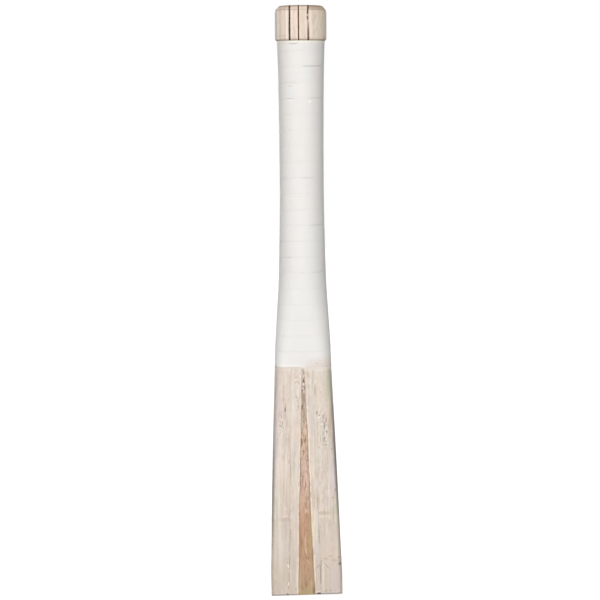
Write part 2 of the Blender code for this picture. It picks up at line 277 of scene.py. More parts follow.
def knob_profile():
    """Height and radius of the turned knob from its underside to the rim of its top."""
    foot = (TOTAL_LENGTH - KNOB_CHAMFER_HEIGHT, KNOB_RADIUS)
    rim = (TOTAL_LENGTH, KNOB_RADIUS - KNOB_CHAMFER_WIDTH)
    lean = math.dist(foot, rim)

    def on_chamfer(corner, distance):
        share = distance / lean
        return tuple(c + share * (b - a) for c, a, b in zip(corner, foot, rim))

    points = eased_corner(
        (KNOB_BASE_Z, KNOB_RADIUS),
        (KNOB_BASE_Z, KNOB_RADIUS - KNOB_LOWER_RADIUS),
        (KNOB_BASE_Z + KNOB_LOWER_RADIUS, KNOB_RADIUS),
    )
    side = heights(KNOB_BASE_Z + KNOB_LOWER_RADIUS, foot[0] - KNOB_CHAMFER_FOOT_EASE, SURFACE_STEP)
    points += [(z, KNOB_RADIUS) for z in side[1:-1]]
    points += eased_corner(
        foot, (foot[0] - KNOB_CHAMFER_FOOT_EASE, KNOB_RADIUS), on_chamfer(foot, KNOB_CHAMFER_FOOT_EASE)
    )
    points += [on_chamfer(foot, lean * share) for share in (0.45, 0.6)]
    points += eased_corner(
        rim, on_chamfer(rim, -KNOB_RIM_EASE), (TOTAL_LENGTH, rim[1] - KNOB_RIM_EASE)
    )
    return points


def all_stations():
    """Every section from the base end to the top of the knob."""
    stations = [Station(z, section(z), inset) for z, inset in BASE_EDGE]
    block = heights(ABOVE_BASE_EDGE_Z, BLOCK_TOP_Z, SURFACE_STEP)
    stations += [Station(z, section(z)) for z in block]
    bends = [BLOCK_TOP_Z, STRIP_END_Z, SPLAY_Z, STRIP_SKIVE_Z, KNOB_BASE_Z]
    hidden = [BLOCK_TOP_Z]
    for low, high in zip(bends, bends[1:]):
        hidden += heights(low, high, HIDDEN_STEP)[1:]
    stations += [Station(z, section(z), REBATE_DEPTH, shown=False) for z in hidden]
    for z, radius in knob_profile():
        stations.append(Station(z, (2 * radius, 2 * radius, radius), x=GRIP_AXIS_X))
    return stations


STATIONS = all_stations()


def wander(seed, z, wavelength):
    """Smooth random value from -1 to 1 that drifts with height."""
    return noise.noise(Vector((seed, 0.37 * seed, z / wavelength)))


def seam_x(seam, z):
    """Middle of a seam at height z, with the slight wander of hand-fitted strips."""
    top, splay, base, bend = seam
    x = straight([(0.0, base), (SPLAY_Z, splay), (TOTAL_LENGTH, top)], z) + straight(bend, z)
    return GRIP_AXIS_X + x + SEAM_WANDER * wander(base * 3000.0, z, 0.0140)


def side_strip_half(z):
    """Half the thickness of an outer spring strip at height z, nought below its end."""
    if z < STRIP_END_Z:
        return 0.0
    knots = [(STRIP_END_Z, STRIP_FEATHER / 2), (STRIP_SKIVE_Z, SIDE_STRIP_THICKNESS / 2)]
    return max(straight(knots, z) + STRIP_WANDER * wander(5.3, z, 0.0024), STRIP_FEATHER / 2)


def wedge_half(z):
    """Half the width of the wedge, and above it of the middle strip."""
    knots = [(0.0, WEDGE_BASE_WIDTH / 2), (SPLAY_Z, MIDDLE_STRIP_THICKNESS / 2)]
    reach = WEDGE_WANDER if z < SPLAY_Z else MIDDLE_STRIP_WANDER
    return max(straight(knots, z) + reach * wander(9.1, z, 0.0062), MIDDLE_STRIP_THICKNESS / 3)


def bed(seam, half, side, z):
    """Side of a slab at a seam, a hair clear of what fills it: side -1 is the seam's left."""
    return seam_x(seam, z) + side * (half(z) + SEAM_GAP)


def ring_faces(rings, count):
    """Quads between successive rings of count points."""
    low = (np.arange(rings - 1)[:, None] * count + np.arange(count)[None, :]).ravel()
    step = np.tile(np.roll(np.arange(count), -1) - np.arange(count), rings - 1)
    return np.column_stack((low, low + step, low + step + count, low + count)).tolist()


def as_sawn(points):
    """Points with the base end a little out of square, higher on the right."""
    share = np.clip(points[:, 0] / OUTLINE[0][1] + 0.5, 0.0, 1.0)
    fade = np.clip(1.0 - points[:, 2] / BASE_TAPER_Z, 0.0, 1.0)
    points[:, 2] += BASE_RISE * share * fade
    return points


def lofted(name, rings, smooth_angle, layers):
    """Closed mesh through rings of equal counts of points, with named values at its points."""
    count = len(rings[0])
    faces = ring_faces(len(rings), count)
    faces.append(list(range(count))[::-1])
    faces.append([(len(rings) - 1) * count + i for i in range(count)])
    mesh = bpy.data.meshes.new(name)
    mesh.from_pydata(as_sawn(np.vstack(rings)).tolist(), [], faces)
    mesh.shade_smooth()
    mesh.set_sharp_from_angle(angle=math.radians(smooth_angle))
    for layer, values in layers.items():
        mesh.attributes.new(layer, "FLOAT", "POINT").data.foreach_set("value", np.ravel(values))
    piece = bpy.data.objects.new(name, mesh)
    bpy.context.scene.collection.objects.link(piece)
    return piece


def node_swelling(slab, share, z):
    """How far a cane's nodes lift its skin, at a share of its width."""
    lift = 0.0
    for left_z, right_z, height in CANE_NODES.get(slab, ()):
        middle = left_z + share * (right_z - left_z) + NODE_WANDER * wander(left_z * 900.0, share, 0.3)
        away = (z - middle) / NODE_HALF_HEIGHT
        depth, half = NODE_GROOVE
        lift += height * (math.exp(-away * away) - depth * math.exp(-(away / half) ** 2))
    return lift


def skin_relief(x, y, z, seed):
    """How far a sanded surface stands off its true outline."""
    broad = noise.noise(Vector((x * 90.0 + seed, y * 90.0, z * 16.0)))
    fine = noise.noise(Vector((x * 420.0, y * 420.0 + seed, z * 60.0)))
    return BROAD_RELIEF * (broad - 1.0) + FINE_RELIEF * fine


def outer_face(station, start, end, count, seed, slab=""):
    """Outer face of one piece at a station: its points, and their distances from both its edges."""
    along, xy, normal = station.stretch(start, end, count)
    if station.shown:
        share = along / along[-1]
        lift = [
            skin_relief(x, y, station.z, seed) + node_swelling(slab, s, station.z)
            for (x, y), s in zip(xy, share)
        ]
        xy = xy + normal * np.array(lift)[:, None]
        xy[0] -= normal[0] * ARRIS
        xy[-1] -= normal[-1] * ARRIS
    points = np.column_stack((xy, np.full(count, station.z)))
    return points, along, along[-1] - along


def cane_cuts(slab, depth, station):
    """Start and end of a cane's outer face along the outline, and its inner corners."""
    z, inner = station.z, MIDDLE_CANE_HALF_DEPTH - SEAM_GAP
    face = -1 if depth == "front" else 1
    y = face * (MIDDLE_CANE_HALF_DEPTH + SEAM_GAP)
    if slab.endswith("outer"):
        side = -1 if slab == "left_outer" else 1
        x = bed(LEFT_SEAM if side < 0 else RIGHT_SEAM, side_strip_half, side, z)
        if depth == "middle":
            ends = (-side * inner, side * inner)
            return [station.cut(1, end, side) for end in ends], [(x, ends[1]), (x, ends[0])]
        return [station.cut(1, y, side), station.cut(0, x, face)][::side * face], [(x, y)]
    if slab == "left_inner":
        left, right = bed(LEFT_SEAM, side_strip_half, 1, z), bed(MIDDLE_SEAM, wedge_half, -1, z)
    else:
        left, right = bed(MIDDLE_SEAM, wedge_half, 1, z), bed(RIGHT_SEAM, side_strip_half, -1, z)
    if depth == "middle":
        return None, [(left, -inner), (right, -inner), (right, inner), (left, inner)]
    first, last = (left, right)[::-face]
    return [station.cut(0, x, face) for x in (first, last)], [(last, y), (first, y)]


def point_count(cuts, stations):
    """Points that a face needs where it is widest."""
    widest = max((end - start) % s.girth for (start, end), s in zip(cuts, stations) if s.shown)
    return math.ceil(widest / SURFACE_STEP) + 2


def make_cane(slab, depth, seed):
    """One cane from the base end to the knob's top."""
    name = f"{slab}_{depth}_cane"
    cuts, inner = zip(*[cane_cuts(slab, depth, station) for station in STATIONS])
    corners = [[(x, y, s.z) for x, y in points] for points, s in zip(inner, STATIONS)]
    if cuts[0] is None:
        return lofted(name, [np.array(c) for c in corners], SMOOTH_ANGLE, {})
    count = point_count(cuts, STATIONS)
    rings, from_start, from_end, from_side = [], [], [], []
    for station, (start, end), corner in zip(STATIONS, cuts, corners):
        points, first, last = outer_face(station, start, end, count, seed, slab)
        width = last[0]
        rings.append(np.vstack((points, corner)))
        from_start.append(np.append(first, [width, 0.0][:len(corner)]))
        from_end.append(np.append(last, [0.0, width][:len(corner)]))
        half = np.max(station.loop[:, 0]) - station.x
        from_side.append(half - np.abs(rings[-1][:, 0] - station.x))
    layers = {"from_start": from_start, "from_end": from_end, "from_side": from_side}
    return lofted(name, rings, SMOOTH_ANGLE, layers)


def make_filler(name, seam, half, stations, seed):
    """A strip or wedge that runs through the laminate from front to back."""
    rows = []
    for station in stations:
        middle = seam_x(seam, station.z)
        sides = (middle - half(station.z), middle + half(station.z))
        front = [station.cut(0, x, -1) for x in sides]
        back = [station.cut(0, x, 1) for x in sides[::-1]]
        rows.append((station, front, back))
    count = point_count([front for _, front, _ in rows], stations)
    rings, edge = [], []
    for station, front, back in rows:
        faces = [outer_face(station, start, end, count, seed) for start, end in (front, back)]
        rings.append(np.vstack([points for points, _, _ in faces]))
        edge.append(np.concatenate([np.minimum(first, last) for _, first, last in faces]))
    return lofted(name, rings, SMOOTH_ANGLE, {"from_edge": edge})


# Binding tape: how its seams and ends show, on the front, in metres.
# Seams: height, x of the middle, half the length, strength
TAPE_SEAM_RELIEF = 0.000008
TAPE_SHOWN_RELIEF = 0.00012
TAPE_SHOWN_SEAMS = [
    (0.4108, 0.0068, 0.0068, 0.9),
    (0.3870, 0.0097, 0.0040, 0.5),
    (0.3263, 0.0030, 0.0038, 0.5),
    (0.2896, 0.0092, 0.0054, 0.45),
    (0.2526, 0.0104, 0.0048, 0.35),
    (0.3862, -0.0101, 0.0022, 0.4),
    (0.2633, -0.0119, 0.0020, 0.35),
]
# Creases: height, x of the middle, half the length
TAPE_CREASES = [
    (0.3957, -0.0101, 0.0022),
    (0.1850, 0.0112, 0.0012),
    (0.1829, 0.0089, 0.0016),
    (0.1803, 0.0166, 0.0012),
]
CREASE_HALF_HEIGHT = 0.0004
CREASE_DEPTH = 0.00012
# How far up and down a seam shows, how far past its ends, and over what share it fades
SEAM_REACH_Z = 0.0050
SEAM_REACH_ALONG = 1.25
SEAM_FADE = 0.35
TAPE_NEAR_SEAM = 0.0004
TAPE_EDGE_EASE = 0.00010
TAPE_LEVELS = 160
# Lumps of the tape's surface: height, waves per metre
TAPE_LUMPS = [(0.00005, 75.0), (0.00002, 330.0)]
# Ledge at a seam: how far its relief reaches, and the shares of it on both sides
LEDGE_REACH = 0.0011
LEDGE_ABOVE = 0.8
LEDGE_BELOW = -0.5
# Ridge of glue along the binding's lower edge: x, height, from its start on the left
LOWER_RIDGE = [(-0.0260, 0.1813), (-0.0190, 0.1811), (-0.0043, 0.1806), (0.0000, 0.1798)]
RIDGE_START_X = -0.0212
RIDGE_HALF_HEIGHT = 0.0008
RIDGE_RAGGED = 0.0003
RIDGE_FADE = 0.0015
BACK_RIDGE_HALF_HEIGHT = 0.0010
# Bead of glue under the knob: its height, how ragged its edge is, and over what height it thickens
BEAD_HEIGHT = 0.0018
BEAD_RAGGED = 0.0009
BEAD_RISE = 0.0004
GLUE_LIFT = 0.00010


def outline_grid():
    """Points and outward normals of the bound grip, on even heights and even steps round it."""
    levels = np.linspace(BLOCK_TOP_Z, KNOB_BASE_Z, TAPE_LEVELS)
    points, normals = [], []
    for z in levels:
        station = Station(z, section(z))
        distance = np.linspace(0.0, station.girth, TAPE_STEPS_PER_TURN, endpoint=False)
        distance += station.cut(1, 0.0, 1)
        points.append(station.at(distance))
        normals.append(station.normals(distance, station.girth / TAPE_STEPS_PER_TURN / 2))
    return levels, np.array(points), np.array(normals)


def seam_shown(x, y, z):
    """How plainly the winding's seam shows at a place, from 0 to 1."""
    shown = 0.03 + 0.10 * max(noise.noise(Vector((x * 60.0, y * 60.0, z * 55.0 + 3.0))), 0.0)
    if y > 0.0:
        return 0.10 + 2.0 * shown
    for height, middle, half, strength in TAPE_SHOWN_SEAMS:
        across = abs(x - middle) / half
        if abs(z - height) < SEAM_REACH_Z and across < SEAM_REACH_ALONG:
            shown = max(shown, strength * min(1.0, (SEAM_REACH_ALONG - across) / SEAM_FADE))
    return shown


def crease(x, y, z):
    """How deep a place lies in one of the tape's creases, from 0 to 1."""
    depth = 0.0
    for height, middle, half in TAPE_CREASES if y < 0.0 else ():
        across, up = (x - middle) / half, (z - height) / CREASE_HALF_HEIGHT
        depth = max(depth, math.exp(-across * across - up * up))
    return depth


def end_glue(x, y, z):
    """How thick dried glue lies on the tape's ends, from 0 to 1."""
    ragged = noise.noise(Vector((x * 260.0, y * 260.0, 5.0)))
    edge = KNOB_BASE_Z - BEAD_HEIGHT - BEAD_RAGGED * ragged
    bead = min(max((z - edge) / BEAD_RISE + 0.5, 0.0), 1.0)
    if y > 0.0 or x > LOWER_RIDGE[-1][0]:
        return max(bead, 0.5 * math.exp(-((z - BLOCK_TOP_Z) / BACK_RIDGE_HALF_HEIGHT) ** 2))
    away = (z - straight(LOWER_RIDGE, x) - RIDGE_RAGGED * ragged) / RIDGE_HALF_HEIGHT
    fade = min(max((x - RIDGE_START_X) / RIDGE_FADE, 0.2), 1.0)
    return max(bead, fade * math.exp(-away * away))


def tape_relief(x, y, z, seam_distance, seam_strength, on_lower_edge):
    """How far the tape stands off the grip's outline, without its glue and creases."""
    lumps = sum(
        height * noise.noise(Vector((x * waves, y * waves, z * waves))) for height, waves in TAPE_LUMPS
    )
    ledge = TAPE_SEAM_RELIEF + (TAPE_SHOWN_RELIEF - TAPE_SEAM_RELIEF) * seam_strength
    fade = math.exp(-seam_distance / LEDGE_REACH)
    return lumps + ledge * fade * (LEDGE_ABOVE if on_lower_edge else LEDGE_BELOW)


def tape_edge(turn):
    """Height of the tape's lower edge after some turns from the right side, anticlockwise from above."""
    climb = turn + 0.25 - TAPE_FRONT_EASE * math.cos(2 * math.pi * turn) / (2 * math.pi)
    return TAPE_SEAM_Z + TAPE_PITCH * climb


def tape_shares(width):
    """Places across the tape, close together at its edges, as shares of its width."""
    near = np.array([0.0, TAPE_NEAR_SEAM / 3, TAPE_NEAR_SEAM]) / width
    inner = np.linspace(near[-1], 1.0 - near[-1], TAPE_ACROSS_COUNT)
    return np.concatenate((near[:-1], inner, 1.0 - near[:-1][::-1]))


def make_binding():
    """One tape wound from the block to the knob, turn on turn, and trimmed level at both ends."""
    levels, points, normals = outline_grid()
    spacing = levels[1] - levels[0]
    low_end, high_end = BLOCK_TOP_Z + TAPE_END_GAP, KNOB_BASE_Z - TAPE_END_GAP
    width = TAPE_PITCH - TAPE_SEAM_GAP
    shares = tape_shares(width)
    most = math.ceil((KNOB_BASE_Z - BLOCK_TOP_Z) / TAPE_PITCH) + 2
    rings, layers = [], {"seam_distance": [], "seam_strength": [], "glue": [], "along": [], "across": []}

    def row_at(z):
        return min(int((z - levels[0]) / spacing), len(levels) - 2)

    for step in range(-most * TAPE_STEPS_PER_TURN, most * TAPE_STEPS_PER_TURN):
        lower = tape_edge(step / TAPE_STEPS_PER_TURN)
        bottom, top = max(lower, low_end), min(lower + width, high_end)
        if top - bottom < TAPE_LEAST_WIDTH:
            continue
        column = step % TAPE_STEPS_PER_TURN
        ring, values = [], []
        for share in shares:
            z = bottom + share * (top - bottom)
            row = row_at(z)
            t = (z - levels[row]) / spacing
            (x, y), normal = (
                (1 - t) * grid[row, column] + t * grid[row + 1, column] for grid in (points, normals)
            )
            to_lower, to_upper = z - lower, lower + width - z
            seam, strength = min(to_lower, to_upper), seam_shown(x, y, z)
            glue, dent = end_glue(x, y, z), crease(x, y, z)
            lift = tape_relief(x, y, z, seam, strength, to_lower < to_upper)
            lift += GLUE_LIFT * glue - CREASE_DEPTH * dent
            if share in (0.0, 1.0):
                lift -= TAPE_EDGE_EASE
            ring.append((x + normal[0] * lift, y + normal[1] * lift, z))
            # The glue layer also carries the crease depth, below nought, which the material turns into
            # painted shade in the creases
            values.append((seam, strength, glue - dent))
        for z in (top, bottom):
            x, y = points[row_at(z), column] - normals[row_at(z), column] * TAPE_THICKNESS
            ring.append((x, y, z))
            values.append((0.0, 0.0, 0.0))
        rings.append(np.array(ring))
        for name, column_values in zip(("seam_distance", "seam_strength", "glue"), zip(*values)):
            layers[name].append(column_values)
        layers["along"].append([step / TAPE_STEPS_PER_TURN * GRIP_GIRTH] * len(ring))
        layers["across"].append([p[2] - lower for p in ring])
    return lofted("cotton_binding", rings, TAPE_SMOOTH_ANGLE, layers)


class Tree:
    """A node tree, put together from small steps that each give a socket."""

    def __init__(self, tree):
        self.tree = tree

    def node(self, kind, inputs=None, **settings):
        """A node with its settings made and its inputs joined or set."""
        node = self.tree.nodes.new(kind)
        for key, value in settings.items():
            setattr(node, key, value)
        for key, value in (inputs or {}).items():
            if isinstance(value, bpy.types.NodeSocket):
                self.tree.links.new(value, node.inputs[key])
            else:
                node.inputs[key].default_value = value
        return node

    def math(self, operation, *values):
        """One step of arithmetic."""
        return self.node("ShaderNodeMath", dict(enumerate(values)), operation=operation).outputs[0]

    def chain(self, operation, first, *others):
        """One operation on several values, one after the other."""
        for value in others:
            first = self.math(operation, first, value)
        return first

    def plus(self, *values):
        return self.chain("ADD", *values)

    def minus(self, *values):
        return self.chain("SUBTRACT", *values)

    def times(self, *values):
        return self.chain("MULTIPLY", *values)

    def over(self, *values):
        return self.chain("DIVIDE", *values)

    def most(self, *values):
        return self.chain("MAXIMUM", *values)

    def size(self, value):
        return self.math("ABSOLUTE", value)

    def scaled(self, value, factor, offset):
        """A value times a factor, plus an offset."""
        return self.math("MULTIPLY_ADD", value, factor, offset)

    def split(self, vector):
        """X, y and z of a vector."""
        return self.node("ShaderNodeSeparateXYZ", {0: vector}).outputs

    def step(self, value, low, high, start=0.0, end=1.0):
        """Smooth step of a value from start at low to end at high."""
        inputs = {0: value, 1: low, 2: high, 3: start, 4: end}
        return self.node("ShaderNodeMapRange", inputs, interpolation_type="SMOOTHSTEP").outputs[0]


def linear(colour):
    """Linear colour for an sRGB colour written as 0 to 255. A socket stays as it is."""
    if isinstance(colour, bpy.types.NodeSocket):
        return colour
    values = [c / 255 for c in colour]
    return tuple(v / 12.92 if v <= 0.04045 else ((v + 0.055) / 1.055) ** 2.4 for v in values) + (1.0,)


class Paint(Tree):
    """A procedural material: a colour laid on step by step, and a bump."""

    def __init__(self, name, roughness, specular, seed, ragged):
        self.material = bpy.data.materials.new(name)
        self.material.use_nodes = True
        super().__init__(self.material.node_tree)
        self.shader = self.tree.nodes["Principled BSDF"]
        self.shader.inputs["Roughness"].default_value = roughness
        self.shader.inputs["Specular IOR Level"].default_value = specular
        self.seed = seed
        self.place = self.node("ShaderNodeTexCoord").outputs["Object"]
        self.x, self.y, self.z = self.split(self.place)
        normal = self.node("ShaderNodeNewGeometry").outputs["Normal"]
        self.normal_x, self.normal_y, self.normal_z = self.split(normal)
        self.ragged = self.noise(900.0, 900.0, ragged, 1.0)
        self.colour = None

    def layer(self, name):
        """Value that the mesh holds at its points."""
        return self.node("ShaderNodeAttribute", attribute_name=name).outputs["Fac"]

    def stretched(self, across, along, offset):
        """The place, scaled across and along the grain and moved by the seed."""
        seed = self.seed + offset
        inputs = {0: self.place, 1: (across, across, along), 2: (seed, 2.3 * seed, 0.7 * seed)}
        return self.node("ShaderNodeVectorMath", inputs, operation="MULTIPLY_ADD").outputs[0]

    def noise(self, across, along, offset, detail=2.0):
        """Noise from 0 to 1 with so many waves per metre across and along the grain."""
        inputs = {"Vector": self.stretched(across, along, offset), "Scale": 1.0, "Detail": detail}
        return self.node("ShaderNodeTexNoise", inputs).outputs["Fac"]

    def mix(self, factor, below, above):
        """Colour between two."""
        inputs = {0: factor, 6: linear(below), 7: linear(above)}
        return self.node("ShaderNodeMix", inputs, data_type="RGBA").outputs[2]

    def lay(self, shade, *masks):
        """Lay a colour on, as thick as the product of the masks."""
        self.colour = self.mix(self.times(*masks), self.colour, shade)

    def grade(self, value, *shades, masks=()):
        """Lay colours on by a value: each from nothing at low to its thickness at high."""
        for low, high, thickness, shade in shades:
            self.lay(shade, self.step(value, low, high, 0.0, thickness), *masks)

    def ramp(self, value, stops):
        """Colour or grey that a value picks from (value, colour or grey) stops."""
        node = self.node("ShaderNodeValToRGB", {0: value})
        elements = node.color_ramp.elements
        while len(elements) < len(stops):
            elements.new(0.5)
        for element, (position, shade) in zip(elements, stops):
            element.position = position
            element.color = linear(shade) if isinstance(shade, tuple) else (shade, shade, shade, 1.0)
        return node.outputs[0]

    def by_height(self, z, knots):
        """Value at a height, on straight lines through (height, value) knots."""
        low, high = knots[0][0], knots[-1][0]
        stops = [((height - low) / (high - low), value) for height, value in knots]
        return self.ramp(self.over(self.minus(z, low), high - low), stops)

    def in_front(self, y):
        """Mask of what lies in front of a depth."""
        return self.step(self.y, y - 0.001, y, 1.0, 0.0)

    def oval(self, x, z, half_width, half_height, lean=0.0, soft=0.7):
        """Mask of a ragged upright oval, in millimetres, leaning by lean in x per z."""
        x, z, half_width, half_height = (v / 1000 for v in (x, z, half_width, half_height))
        drift = self.scaled(self.ragged, 1.2 * half_width, -0.6 * half_width)
        rise = 1.2 * min(half_height, 0.001)
        from_z = self.scaled(self.ragged, rise, self.minus(self.z, z + rise / 2))
        from_x = self.scaled(from_z, -lean, self.plus(self.minus(self.x, x), drift))
        across, up = self.over(from_x, half_width), self.over(from_z, half_height)
        distance = self.math("SQRT", self.plus(self.times(across, across), self.times(up, up)))
        return self.step(distance, 1.0 - soft, 1.0 + soft, 1.0, 0.0)

    def finish(self, height, distance):
        """Give the shader its colour, and its bump from a height."""
        bump = self.node("ShaderNodeBump", {"Height": height, "Distance": distance, "Strength": 1.0})
        self.tree.links.new(self.colour, self.shader.inputs["Base Color"])
        self.tree.links.new(bump.outputs[0], self.shader.inputs["Normal"])
        return self.material


# Wood colours
CREAM = (232, 219, 203)
PALE = (237, 228, 216)
PINK = (229, 207, 194)
GREY = (206, 201, 194)
GREEN_GREY = (205, 203, 182)
LILAC = (213, 201, 204)
BROWN = (150, 122, 100)
NODE_TINT = (190, 164, 146)
DARK = (92, 76, 64)
CHIP = (250, 244, 231)
STAIN = (158, 142, 128)
TAWNY = (201, 184, 160)
ROSE = (214, 196, 188)
PURPLE = (178, 160, 166)
MAUVE = (198, 186, 188)
GLUE_LINE = (165, 148, 138)
GLUE_WASH = (238, 230, 224)

# Base colour of each slab, in the block and in the knob
SLAB_COLOURS = {
    "left_outer": ((218, 205, 195), (236, 216, 201)),
    "left_inner": ((220, 207, 196), (240, 215, 201)),
    "right_inner": ((219, 207, 197), (239, 218, 202)),
    "right_outer": ((218, 207, 197), (234, 216, 198)),
}
CANE_TINTS = [(0.30, LILAC), (0.42, PINK), (0.52, CREAM), (0.62, PALE), (0.72, GREY)]
TAPE_WHITES = [(0.34, (232, 232, 230)), (0.50, (234, 231, 228)), (0.66, (235, 231, 227))]

